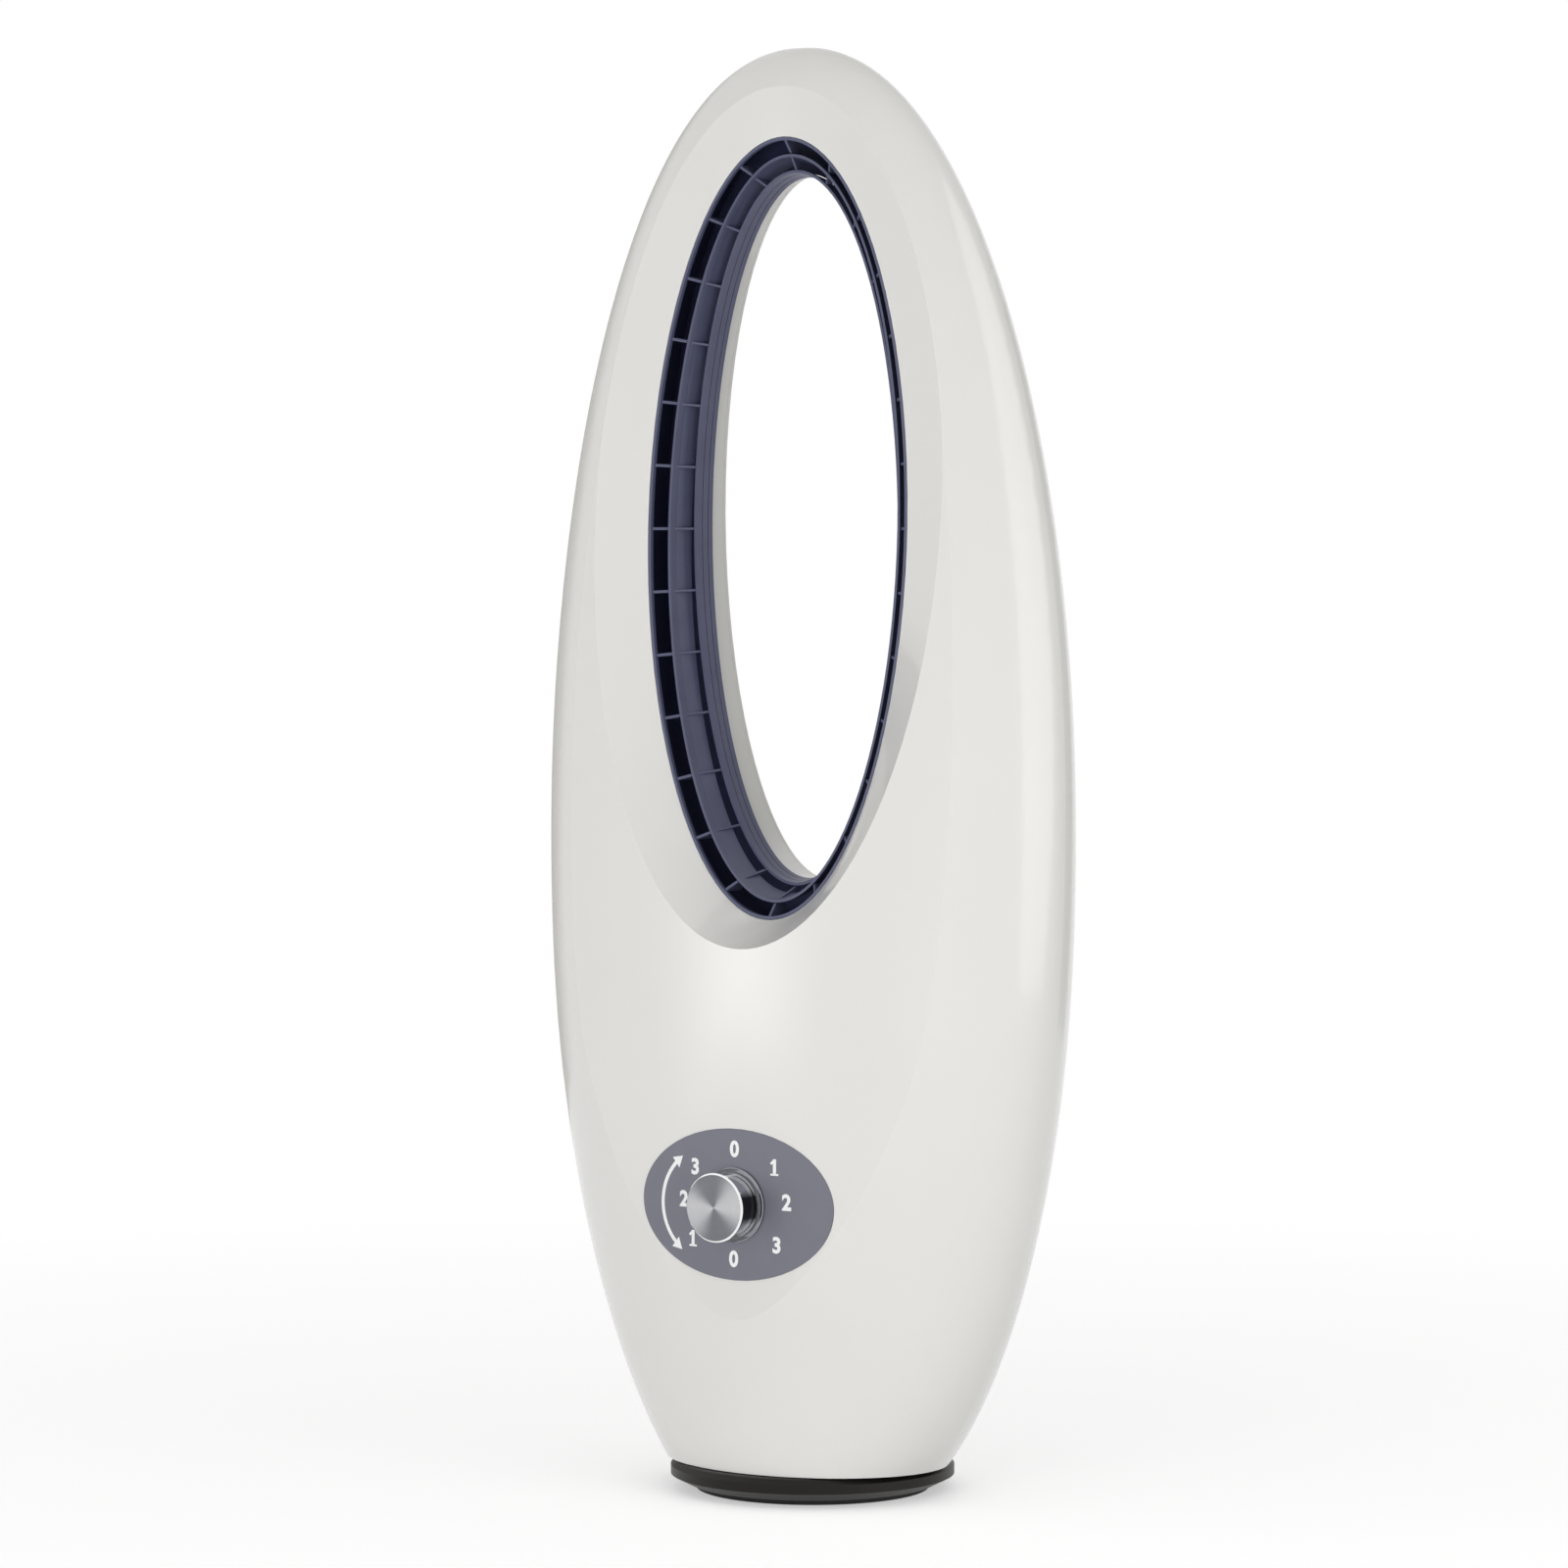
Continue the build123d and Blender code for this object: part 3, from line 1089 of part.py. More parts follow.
def leg_places():
    """The four legs stand clear of the swing motor and the switch."""
    angles = [math.radians(angle) for angle in LEG_ANGLES]
    return [(STAND_LEG_CIRCLE * math.cos(a), STAND_LEG_CIRCLE * math.sin(a)) for a in angles]


INLET_Z = BLOWER_Z - INLET_THICKNESS
STAND_TOP_Z = STAND_PLATE_Z + STAND_PLATE_THICKNESS
MOTOR_Z = STAND_TOP_Z + MOTOR_PAD_THICKNESS
MOTOR_TOP_Z = MOTOR_Z + MOTOR_HEIGHT
IMPELLER_Z = BLOWER_Z + IMPELLER_LIFT
IMPELLER_TOP_Z = IMPELLER_Z + IMPELLER_HEIGHT
BLOWER_TOP_Z = BLOWER_Z + STACK_GAP + BLOWER_HEIGHT
DIFFUSER_Z = BLOWER_TOP_Z + STACK_GAP
DIFFUSER_TOP_Z = DIFFUSER_Z + DIFFUSER_HEIGHT
ADAPTER_Z = DIFFUSER_TOP_Z + STACK_GAP
ADAPTER_TOP_Z = RIM_CENTRE_Z - RIM_HALF_HEIGHT - DUCT_STEP_OUT - GRILLE_FIT


def motor_bolt_places():
    """Where the blower motor is bolted to its stand."""
    return turned_points(4, MOTOR_BOLT_CIRCLE, 45.0)


def blower_stand():
    """Four-legged stand that carries the motor and the blower housing."""
    stand = disc(STAND_PLATE_RADIUS, STAND_PLATE_Z, STAND_TOP_Z)
    stand = stand - disc(3 * MOTOR_SHAFT_RADIUS, 0.0, 2 * STAND_TOP_Z)
    for place in leg_places():
        stand = stand + disc(STAND_LEG_RADIUS, FLOOR_TOP_Z, INLET_Z, place)
        stand = stand + disc(STAND_FOOT_RADIUS, FLOOR_TOP_Z, FLOOR_TOP_Z + STAND_FOOT_THICKNESS, place)
    for place in motor_bolt_places():
        stand = stand - disc(SCREW_RADIUS + SCREW_FIT, 0.0, 2 * STAND_TOP_Z, place)
    return stand


def motor_pads():
    """Rubber pads that keep the motor's hum out of the stand."""
    pads = []
    for place in motor_bolt_places():
        pad = disc(MOTOR_PAD_RADIUS, STAND_TOP_Z, MOTOR_Z, place)
        pads.append(pad - disc(SCREW_RADIUS + SCREW_FIT, 0.0, 2 * MOTOR_Z, place))
    return Compound(pads)


def motor_end_plate():
    """Lower end plate of the blower motor."""
    plate = disc(MOTOR_RADIUS, MOTOR_Z, MOTOR_Z + END_PLATE_THICKNESS)
    plate = plate - disc(MOTOR_SHAFT_RADIUS + RUNNING_FIT, 0.0, 2 * MOTOR_Z)
    for place in motor_bolt_places():
        plate = plate - disc(SCREW_RADIUS + SCREW_FIT, 0.0, 2 * MOTOR_Z, place)
    return plate


def motor_bolts():
    """Bolts from below through stand, pads and end plate."""
    bolts = []
    for place in motor_bolt_places():
        shank = disc(SCREW_RADIUS, STAND_PLATE_Z, MOTOR_Z + END_PLATE_THICKNESS, place)
        bolts.append(shank + disc(SCREW_HEAD_RADIUS, STAND_PLATE_Z - SCREW_HEAD, STAND_PLATE_Z, place))
    return Compound(bolts)


CAN_Z = MOTOR_Z + END_PLATE_THICKNESS


def motor_can():
    """Pressed can of the blower motor."""
    can = disc(MOTOR_RADIUS, CAN_Z, MOTOR_TOP_Z)
    can = can - disc(MOTOR_RADIUS - MOTOR_WALL, 0.0, MOTOR_TOP_Z - MOTOR_WALL)
    return can - disc(MOTOR_SHAFT_RADIUS + RUNNING_FIT, 0.0, 2 * MOTOR_TOP_Z)


def motor_stator():
    """Laminated stator ring with its winding slots."""
    outer = MOTOR_RADIUS - MOTOR_WALL - FACE_PLAY
    low = CAN_Z + STATOR_LIFT
    core = ring(outer, outer - STATOR_THICKNESS, low, low + ROTOR_HEIGHT)
    for place in turned_points(STATOR_SLOTS, outer - STATOR_THICKNESS):
        core = core - disc(STATOR_SLOT_RADIUS, low - 1.0, low + ROTOR_HEIGHT + 1.0, place)
    return core


def motor_rotor():
    """Rotor on the motor's long shaft."""
    low = CAN_Z + STATOR_LIFT
    rotor = disc(ROTOR_RADIUS, low, low + ROTOR_HEIGHT)
    return rotor + disc(MOTOR_SHAFT_RADIUS, MOTOR_Z - 1.0, IMPELLER_TOP_Z - 1.0)


def inlet_ring():
    """Bell-mouthed ring where the air enters the blower."""
    mouth = Polyline(
        (BLOWER_RADIUS, INLET_Z),
        (BLOWER_RADIUS, BLOWER_Z),
        (INLET_RADIUS, BLOWER_Z),
        (INLET_RADIUS, INLET_Z + INLET_THICKNESS / 2),
        (INLET_RADIUS + INLET_THICKNESS / 2, INLET_Z),
        close=True,
    )
    return revolve(make_face(Plane.XZ * mouth), axis=Axis.Z)


def blower_housing():
    """Round duct in which the impeller turns."""
    return ring(BLOWER_RADIUS, BLOWER_RADIUS - BLOWER_WALL, BLOWER_Z + STACK_GAP, BLOWER_TOP_Z)


def hub_cone(inset):
    """Cone of the impeller's hub, set in from its outside."""
    cone = Cone(HUB_LOW_RADIUS - inset, HUB_HIGH_RADIUS - inset, IMPELLER_HEIGHT)
    return Pos(0, 0, IMPELLER_Z + IMPELLER_HEIGHT / 2) * cone


def impeller():
    """Mixed-flow impeller: conical hub with twisted blades."""
    hub = hub_cone(0.0) - Pos(0, 0, HUB_WALL) * hub_cone(HUB_WALL)
    hub = hub + disc(HUB_BOSS_RADIUS, IMPELLER_Z, IMPELLER_Z + HUB_BOSS_HEIGHT)
    reach = ring(IMPELLER_RADIUS, HUB_LOW_RADIUS / 2, IMPELLER_Z + 1.0, IMPELLER_TOP_Z - 1.0)
    reach = reach - hub_cone(HUB_WALL / 2)
    blades = []
    for k in range(IMPELLER_BLADES):
        turn = Rot(0, 0, 360.0 * k / IMPELLER_BLADES)
        middle = Pos(IMPELLER_RADIUS / 2, 0, IMPELLER_Z + IMPELLER_HEIGHT / 2) * Rot(BLADE_TWIST, 0, 0)
        blades.append(turn * middle * Box(IMPELLER_RADIUS, IMPELLER_BLADE_WALL, 2 * IMPELLER_HEIGHT))
    wheel = hub + [reach & blade for blade in blades]
    return wheel - disc(MOTOR_SHAFT_RADIUS + PRESS_FIT, 0.0, 2 * IMPELLER_TOP_Z)


def impeller_nut():
    """Nut that locks the impeller on the shaft."""
    low = IMPELLER_Z + HUB_BOSS_HEIGHT + FACE_PLAY
    outline = RegularPolygon(IMPELLER_NUT_RADIUS, 6) - Circle(MOTOR_SHAFT_RADIUS + PRESS_FIT)
    return Pos(0, 0, low) * extrude(outline, IMPELLER_NUT_THICKNESS)


def diffuser():
    """Fixed vanes above the impeller that straighten the flow."""
    outer = ring(BLOWER_RADIUS, BLOWER_RADIUS - BLOWER_WALL, DIFFUSER_Z, DIFFUSER_TOP_Z)
    cup = disc(HUB_HIGH_RADIUS, DIFFUSER_Z, DIFFUSER_TOP_Z)
    cup = cup - disc(HUB_HIGH_RADIUS - HUB_WALL, DIFFUSER_Z - 1.0, DIFFUSER_TOP_Z - HUB_WALL)
    gap = ring(BLOWER_RADIUS - BLOWER_WALL / 2, HUB_HIGH_RADIUS - HUB_WALL / 2, DIFFUSER_Z, DIFFUSER_TOP_Z)
    vanes = []
    for k in range(DIFFUSER_VANES):
        turn = Rot(0, 0, 360.0 * k / DIFFUSER_VANES)
        middle = Pos(BLOWER_RADIUS / 2, 0, (DIFFUSER_Z + DIFFUSER_TOP_Z) / 2) * Rot(-DIFFUSER_TWIST, 0, 0)
        vanes.append(turn * middle * Box(BLOWER_RADIUS, DIFFUSER_VANE_WALL, 3 * DIFFUSER_HEIGHT))
    return outer + [cup] + [gap & vane for vane in vanes]


def duct_adapter():
    """Funnel from the round blower up into the duct ring."""
    low = Wire([Edge.make_circle(BLOWER_RADIUS, Plane((0, 0, ADAPTER_Z)))])
    high_plane = Plane((0, ADAPTER_SHIFT, ADAPTER_TOP_Z))
    high = Wire([Edge.make_ellipse(ADAPTER_HALF_WIDTH, ADAPTER_HALF_DEPTH, high_plane)])
    wall = ADAPTER_WALL
    low_in = Wire([Edge.make_circle(BLOWER_RADIUS - wall, Plane((0, 0, ADAPTER_Z)))])
    high_in = Wire([Edge.make_ellipse(ADAPTER_HALF_WIDTH - wall, ADAPTER_HALF_DEPTH - wall, high_plane)])
    return Solid.make_loft([low, high], ruled=True) - Solid.make_loft([low_in, high_in], ruled=True)


# ================================================================ electrics
def motor_capacitor():
    """Run capacitor, standing on the floor."""
    low = FLOOR_TOP_Z
    can = disc(CAPACITOR_RADIUS, low, low + CAPACITOR_HEIGHT, (-CAPACITOR_X, 0.0))
    tab_z = low + CAPACITOR_HEIGHT + 0.4 * CAPACITOR_TAB[2]
    for side in (-1, 1):
        tab = Pos(-CAPACITOR_X, side * CAPACITOR_TAB_SPACING / 2, tab_z) * Box(*CAPACITOR_TAB)
        can = can + tab
    return can


def terminal_block():
    """Screw terminals where the leads meet."""
    length = TERMINAL_COUNT * TERMINAL_PITCH
    centre = Pos(-TERMINAL_X, TERMINAL_Y, FLOOR_TOP_Z + TERMINAL_SIZE / 2)
    block = centre * Box(TERMINAL_SIZE, length, TERMINAL_SIZE)
    for k in range(TERMINAL_COUNT):
        y = TERMINAL_Y + (k - (TERMINAL_COUNT - 1) / 2) * TERMINAL_PITCH
        well = disc(0.3 * TERMINAL_PITCH, FLOOR_TOP_Z + 0.7 * TERMINAL_SIZE, FLOOR_TOP_Z + 2 * TERMINAL_SIZE,
                    (-TERMINAL_X, y))
        block = block - well
    return block


# ================================================================ all pieces
def pieces():
    """Every separate piece under the name of its node."""
    front, rear = shells()
    return {
        "front_shell": front,
        "rear_shell": rear,
        "shell_screws": shell_screws(),
        "intake_filter": intake_filter(),
        "outlet_frame": outlet_frame(),
        "guide_blade": guide_blade(),
        "inner_ring": inner_ring(),
        "air_duct": air_duct(),
        "loop_liner": loop_liner(),
        "duct_adapter": duct_adapter(),
        "control_panel": control_panel(),
        "knob": knob(),
        "knob_collar": knob_collar(),
        "dial_shaft": dial_shaft(),
        "rotary_switch": rotary_switch(),
        "switch_nut": switch_nut(),
        "rubber_foot": rubber_foot(),
        "base_plate": base_plate(),
        "base_cover": base_cover(),
        "base_screws": base_screws(),
        "ballast": ballast(),
        "cord_gland": cord_gland(),
        "pivot_tube": pivot_tube(),
        "pivot_screws": pivot_screws(),
        "lower_race": race(BASE_HEIGHT),
        "upper_race": race(FLOOR_Z - RACE_THICKNESS),
        "ball_cage": ball_cage(),
        "bearing_balls": bearing_balls(),
        "thrust_washer": thrust_washer(),
        "fixed_gear": fixed_gear(),
        "lock_nut": lock_nut(),
        "pinion": pinion(),
        "swing_shaft": swing_shaft(),
        "swing_motor": swing_motor(),
        "swing_motor_screws": swing_motor_screws(),
        "body_floor": body_floor(),
        "floor_screws": floor_screws(),
        "blower_stand": blower_stand(),
        "motor_pads": motor_pads(),
        "motor_end_plate": motor_end_plate(),
        "motor_bolts": motor_bolts(),
        "motor_can": motor_can(),
        "motor_stator": motor_stator(),
        "motor_rotor": motor_rotor(),
        "inlet_ring": inlet_ring(),
        "blower_housing": blower_housing(),
        "impeller": impeller(),
        "impeller_nut": impeller_nut(),
        "diffuser": diffuser(),
        "motor_capacitor": motor_capacitor(),
        "terminal_block": terminal_block(),
    }


def main():
    os.makedirs("parts", exist_ok=True)
    for name, shape in pieces().items():
        export_step(shape, "parts/" + name + ".step")


if __name__ == "__main__":
    main()
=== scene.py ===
import math

import bpy
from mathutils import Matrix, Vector


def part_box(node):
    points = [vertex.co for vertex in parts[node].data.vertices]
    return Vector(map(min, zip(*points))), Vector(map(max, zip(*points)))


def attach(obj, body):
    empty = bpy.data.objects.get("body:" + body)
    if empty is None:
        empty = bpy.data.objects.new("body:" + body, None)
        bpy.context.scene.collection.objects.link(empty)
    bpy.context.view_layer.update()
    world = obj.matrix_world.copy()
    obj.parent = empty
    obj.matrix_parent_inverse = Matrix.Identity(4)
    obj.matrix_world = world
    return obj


# Bladeless fan: a glossy pearl loop on a bulging body, dressed for its looks.
# Metres, in the frame of the CAD: +Z up, -Y the way the air leaves.

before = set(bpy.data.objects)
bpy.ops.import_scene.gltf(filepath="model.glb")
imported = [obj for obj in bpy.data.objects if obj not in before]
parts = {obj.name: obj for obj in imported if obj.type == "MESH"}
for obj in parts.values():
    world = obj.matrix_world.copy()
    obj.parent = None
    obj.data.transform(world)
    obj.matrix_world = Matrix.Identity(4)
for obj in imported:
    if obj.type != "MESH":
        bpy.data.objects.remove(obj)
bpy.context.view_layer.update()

MM = 0.001

# ---------------------------------------------------------------- the view
VIEW_AZIMUTH = math.radians(35.0)       # from straight ahead towards +X
VIEW_DISTANCE = 3.2
VIEW_HEIGHT = 0.534
AIM_LEFT = 0.016                        # the aim lies this far left of the axis
AIM_HEIGHT = 0.393
LENS_MM = 132.1
SENSOR_MM = 36.0

# ---------------------------------------------------------------- the dial
DIAL_HEIGHT = 165.0 * MM
PRINT_START = 1.0 * MM                  # ahead of the panel, before a print is pressed on
PRINT_LIFT = 0.12 * MM                  # above the panel, once it is
LEGENDS = [                             # text, then mm to the right of the dial and above it
    ("0", 0.0, 30.2), ("1", 26.6, 21.6), ("2", 34.6, 2.9), ("3", 28.4, -20.8),
    ("0", 0.0, -30.2), ("1", -28.0, -20.8), ("2", -34.6, 0.6), ("3", -26.8, 18.9),
]
DIGIT_SIZE = 11.9 * MM                  # of the type; its digits are 8.6 mm high
DIGIT_BOLD = 0.46 * MM
DIGIT_STEPS = 6                         # in each curve of a digit
DIGIT_MERGE = 0.01 * MM
FLAG_LENGTH = 3.0 * MM                  # the short stroke at the top of a 1
FLAG_WIDTH = 1.4 * MM
FLAG_SLOPE = math.radians(45.0)
FOOT_LENGTH = 5.2 * MM                  # the short bar under a 1
FOOT_WIDTH = 1.1 * MM
ARROW_CENTRE = -19.3 * MM               # the arrow's arc is drawn round a point left of the dial
ARROW_DROP = 1.2 * MM                   # and this far below its middle
ARROW_RADIUS = 30.3 * MM
ARROW_WIDTH = 2.2 * MM
ARROW_HALF_SWEEP = math.radians(50.0)
ARROW_STEPS = 24
ARROW_HEAD = 4.2 * MM

# ---------------------------------------------------------------- the knob's finish
RING_SPACING = 0.35 * MM                # coarser than the lathe's own marks, so that the rings show
RING_DEPTH = 0.02 * MM
PAINTED_WEDGE_TILT = math.radians(14.0)         # the bright wedges, painted highlights, rise this much to the right

# ---------------------------------------------------------------- the motor's laminations
SHEET_THICKNESS = 0.5 * MM
WAVE_RATE = 20.0                        # radians that the wave texture turns in a unit at scale 1

# ---------------------------------------------------------------- the studio
FAN_MIDDLE = (0.0, 0.0, 0.42)
FAN_FOOT = (0.0, 0.0, 0.0)
DIAL_FRONT = (0.0, -0.09, DIAL_HEIGHT)
FLOOR_RADIUS = 40.0
FLOOR_DROP = 0.0002                     # under the foot, so that the two faces don't fight
SHADOW_REACH = 0.35                     # from the axis; the floor fades to white from here
WHITE_REACH = 1.3                       # to here
PAPER_GLOW = 0.42                       # what the eye sees added to the paper near the fan
AMBIENT = 0.6                           # of the surroundings, as light on the fan
LAMPS = [   # name, (azimuth, distance, height), (width, height), watts, soft share, lights, shines, aim
    ("front_softbox", (8.0, 1.8, 0.25), (1.5, 0.7), 22.5, 0.5, True, False, FAN_FOOT),
    ("side_softbox", (80.0, 1.5, 0.3), (1.5, 1.3), 8.0, 0.25, True, False, FAN_MIDDLE),
    ("side_strip", (90.0, 1.42, 0.84), (1.45, 2.2), 13.0, 0.08, False, True, FAN_MIDDLE),
    ("low_front_softbox", (-34.0, 2.0, 0.3), (0.85, 0.75), 6.0, 1.0, False, True, FAN_MIDDLE),
]
CARDS = [   # name, (azimuth, distance, height), (width, height), shade, aim
    ("dial_card", (-30.0, 0.53, 0.06), (0.24, 0.42), "#9A9A9C", DIAL_FRONT),
    ("right_card", (150.0, 1.5, 0.6), (1.5, 2.4), "#A0A29C", FAN_MIDDLE),
    ("left_card", (-118.0, 1.5, 0.6), (1.3, 2.4), "#B4B2AE", FAN_MIDDLE),
]


# ================================================================ materials
def linear(code):
    """An sRGB hex colour as the linear colour that a shader takes."""
    shares = [int(code[place:place + 2], 16) / 255 for place in (1, 3, 5)]
    return [share / 12.92 if share <= 0.04045 else ((share + 0.055) / 1.055) ** 2.4
            for share in shares] + [1.0]


def add_node(tree, kind, inputs, **settings):
    """Adds one node with its settings, and gives each input a value or another node's output."""
    node = tree.nodes.new("ShaderNode" + kind)
    for name, value in settings.items():
        setattr(node, name, value)
    for key, value in inputs.items():
        if isinstance(value, bpy.types.NodeSocket):
            tree.links.new(value, node.inputs[key])
        else:
            node.inputs[key].default_value = value
    return node


def start_material(name):
    """An empty node tree in a new material."""
    material = bpy.data.materials.new(name)
    material.use_nodes = True
    material.node_tree.nodes.clear()
    return material, material.node_tree


def moulded(name, tones, patch_mm, grain_mm, depth_mm, surface):
    """A plastic, rubber or painted finish: two near tones in soft patches over a fine grain."""
    dark, light = tones
    material, tree = start_material(name)
    place = add_node(tree, "TexCoord", {}).outputs["Object"]
    patches = add_node(tree, "TexNoise", {"Vector": place, "Scale": 1 / (patch_mm * MM), "Detail": 3.0})
    tone = add_node(tree, "Mix", {0: patches.outputs[0], 6: linear(dark), 7: linear(light)}, data_type="RGBA")
    grain = add_node(tree, "TexNoise", {"Vector": place, "Scale": 1 / (grain_mm * MM), "Detail": 2.0})
    bump = add_node(tree, "Bump", {"Height": grain.outputs[0], "Distance": depth_mm * MM})
    shader = add_node(tree, "BsdfPrincipled", {
        **surface, "Base Color": tone.outputs[2], "Normal": bump.outputs[0],
    })
    add_node(tree, "OutputMaterial", {"Surface": shader.outputs[0]})
    return material


def drawn_metal(name, tones, streak_mm, stretch, roughness, depth_mm=0.01):
    """A metal that was drawn, rolled or plated: streaks along its height, with a changing gloss."""
    dark, light = tones
    material, tree = start_material(name)
    place = add_node(tree, "TexCoord", {}).outputs["Object"]
    drawn = add_node(tree, "Mapping", {"Vector": place, "Scale": (1.0, 1.0, 1.0 / stretch)})
    streaks = add_node(tree, "TexNoise", {
        "Vector": drawn.outputs[0], "Scale": 1 / (streak_mm * MM), "Detail": 4.0,
    })
    tone = add_node(tree, "Mix", {0: streaks.outputs[0], 6: linear(dark), 7: linear(light)}, data_type="RGBA")
    gloss = add_node(tree, "MapRange", {
        "Value": streaks.outputs[0], "To Min": 0.8 * roughness, "To Max": 1.2 * roughness,
    })
    bump = add_node(tree, "Bump", {"Height": streaks.outputs[0], "Distance": depth_mm * MM})
    shader = add_node(tree, "BsdfPrincipled", {
        "Base Color": tone.outputs[2], "Metallic": 1.0, "Roughness": gloss.outputs[0],
        "Normal": bump.outputs[0],
    })
    add_node(tree, "OutputMaterial", {"Surface": shader.outputs[0]})
    return material


def rings_and_painted_wedges(tree, place, rings):
    """The spun face: fine rings, swept by two bright wedges painted into the colour as highlights, where a
    lathe's marks would catch the light.
    """
    ringed = add_node(tree, "Mix", {0: rings.outputs[0], 6: linear("#CFCFD3"), 7: linear("#F4F4F6")},
                      data_type="RGBA")
    upright = add_node(tree, "Mapping", {
        "Vector": place, "Rotation": (-math.pi / 2, 0.0, 0.0), "Location": (0.0, -DIAL_HEIGHT, 0.0),
    })
    # painted highlight: two bright wedges, set into the colour by the angle round the dial's centre
    turn = add_node(tree, "TexGradient", {"Vector": upright.outputs[0]}, gradient_type="RADIAL")
    painted_wedge_lobes = add_node(tree, "Math", {0: turn.outputs["Fac"], 1: 4 * math.pi, 2: -2 * PAINTED_WEDGE_TILT},
                     operation="MULTIPLY_ADD")
    painted_wedges = add_node(tree, "Math", {0: painted_wedge_lobes.outputs[0]}, operation="COSINE")
    shares = add_node(tree, "MapRange", {"Value": painted_wedges.outputs[0], "From Min": -0.9, "From Max": 1.0},
                      interpolation_type="SMOOTHSTEP")
    # painted highlight: grey between the wedges, white in them
    painted_highlight_tone = add_node(tree, "Mix", {0: shares.outputs[0], 6: linear("#A6A7AB"), 7: linear("#FFFFFF")},
                     data_type="RGBA")
    return add_node(tree, "Mix", {0: 1.0, 6: ringed.outputs[2], 7: painted_highlight_tone.outputs[2]}, data_type="RGBA",
                    blend_type="MULTIPLY")


def painted_reflection_tone(tree, normal, facing):
    """The polished side, with a painted reflection: bright, but painted dark to the left and right, where the
    polish would mirror a dark panel.
    """
    height = add_node(tree, "SeparateXYZ", {0: normal}).outputs["Z"]
    steep = add_node(tree, "Math", {0: height}, operation="ABSOLUTE")
    level = add_node(tree, "MapRange", {
        "Value": steep.outputs[0], "From Min": 0.35, "From Max": 0.6, "To Min": 1.0, "To Max": 0.0,
    })
    side = add_node(tree, "MapRange", {
        "Value": facing.outputs["Value"], "From Min": 0.1, "From Max": 0.4, "To Min": 1.0, "To Max": 0.0,
    })
    painted_dark_reflection = add_node(tree, "Math", {0: level.outputs[0], 1: side.outputs[0]}, operation="MULTIPLY")
    # painted reflection: bright where the side faces up, down or ahead, dark where it faces left or right
    return add_node(tree, "Mix", {0: painted_dark_reflection.outputs[0], 6: linear("#F4F4F5"), 7: linear("#3A3A3D")},
                    data_type="RGBA")


def spun_knob():
    """Aluminium spun on a lathe: rings round the face with painted highlight wedges, and a polished side
    behind the rim with a painted reflection.
    """
    material, tree = start_material("spun_aluminium")
    on_knob = add_node(tree, "TexCoord", {})
    place, normal = on_knob.outputs["Object"], on_knob.outputs["Normal"]
    centred = add_node(tree, "Mapping", {"Vector": place, "Location": (0.0, 0.0, -DIAL_HEIGHT)})
    flat = add_node(tree, "VectorMath", {0: centred.outputs[0], 1: (1.0, 0.0, 1.0)}, operation="MULTIPLY")
    reach = add_node(tree, "VectorMath", {0: flat.outputs[0]}, operation="LENGTH")
    rings = add_node(tree, "TexNoise", {
        "W": reach.outputs["Value"], "Scale": 1 / RING_SPACING, "Detail": 2.0,
    }, noise_dimensions="1D")
    facing = add_node(tree, "VectorMath", {0: normal, 1: (0.0, -1.0, 0.0)}, operation="DOT_PRODUCT")
    on_face = add_node(tree, "MapRange", {
        "Value": facing.outputs["Value"], "From Min": 0.9, "From Max": 0.98,
    })
    gloss = add_node(tree, "MapRange", {"Value": on_face.outputs[0], "To Min": 0.08, "To Max": 0.27})
    # the face's rings, with the painted highlight wedges
    face = rings_and_painted_wedges(tree, place, rings)
    # the side's painted reflection
    painted_side_reflection = painted_reflection_tone(tree, normal, facing)
    tone = add_node(tree, "Mix", {0: on_face.outputs[0], 6: painted_side_reflection.outputs[2], 7: face.outputs[2]},
                    data_type="RGBA")
    depth = add_node(tree, "Math", {0: on_face.outputs[0], 1: rings.outputs[0]}, operation="MULTIPLY")
    bump = add_node(tree, "Bump", {"Height": depth.outputs[0], "Distance": RING_DEPTH})
    along = add_node(tree, "Tangent", {}, direction_type="RADIAL", axis="Y")
    shader = add_node(tree, "BsdfPrincipled", {
        "Base Color": tone.outputs[2], "Metallic": 1.0, "Roughness": gloss.outputs[0], "Anisotropic": 0.75,
        "Tangent": along.outputs[0], "Normal": bump.outputs[0],
    })
    add_node(tree, "OutputMaterial", {"Surface": shader.outputs[0]})
    return material


def open_foam():
    """Reticulated foam sheet: open cells about 1 mm across, with painted shade in them, so it looks pitted
    and matt.
    """
    material, tree = start_material("reticulated_foam")
    place = add_node(tree, "TexCoord", {}).outputs["Object"]
    cells = add_node(tree, "TexVoronoi", {"Vector": place, "Scale": 1 / (1.0 * MM)})
    # painted shade in the open cells: the tone darkens towards each cell's middle, where the bump sinks
    tone = add_node(tree, "Mix", {0: cells.outputs["Distance"], 6: linear("#0B0B0C"), 7: linear("#2E2E30")},
                    data_type="RGBA")
    bump = add_node(tree, "Bump", {"Height": cells.outputs["Distance"], "Distance": 0.5 * MM})
    shader = add_node(tree, "BsdfPrincipled", {
        "Base Color": tone.outputs[2], "Roughness": 0.95, "Normal": bump.outputs[0],
    })
    add_node(tree, "OutputMaterial", {"Surface": shader.outputs[0]})
    return material


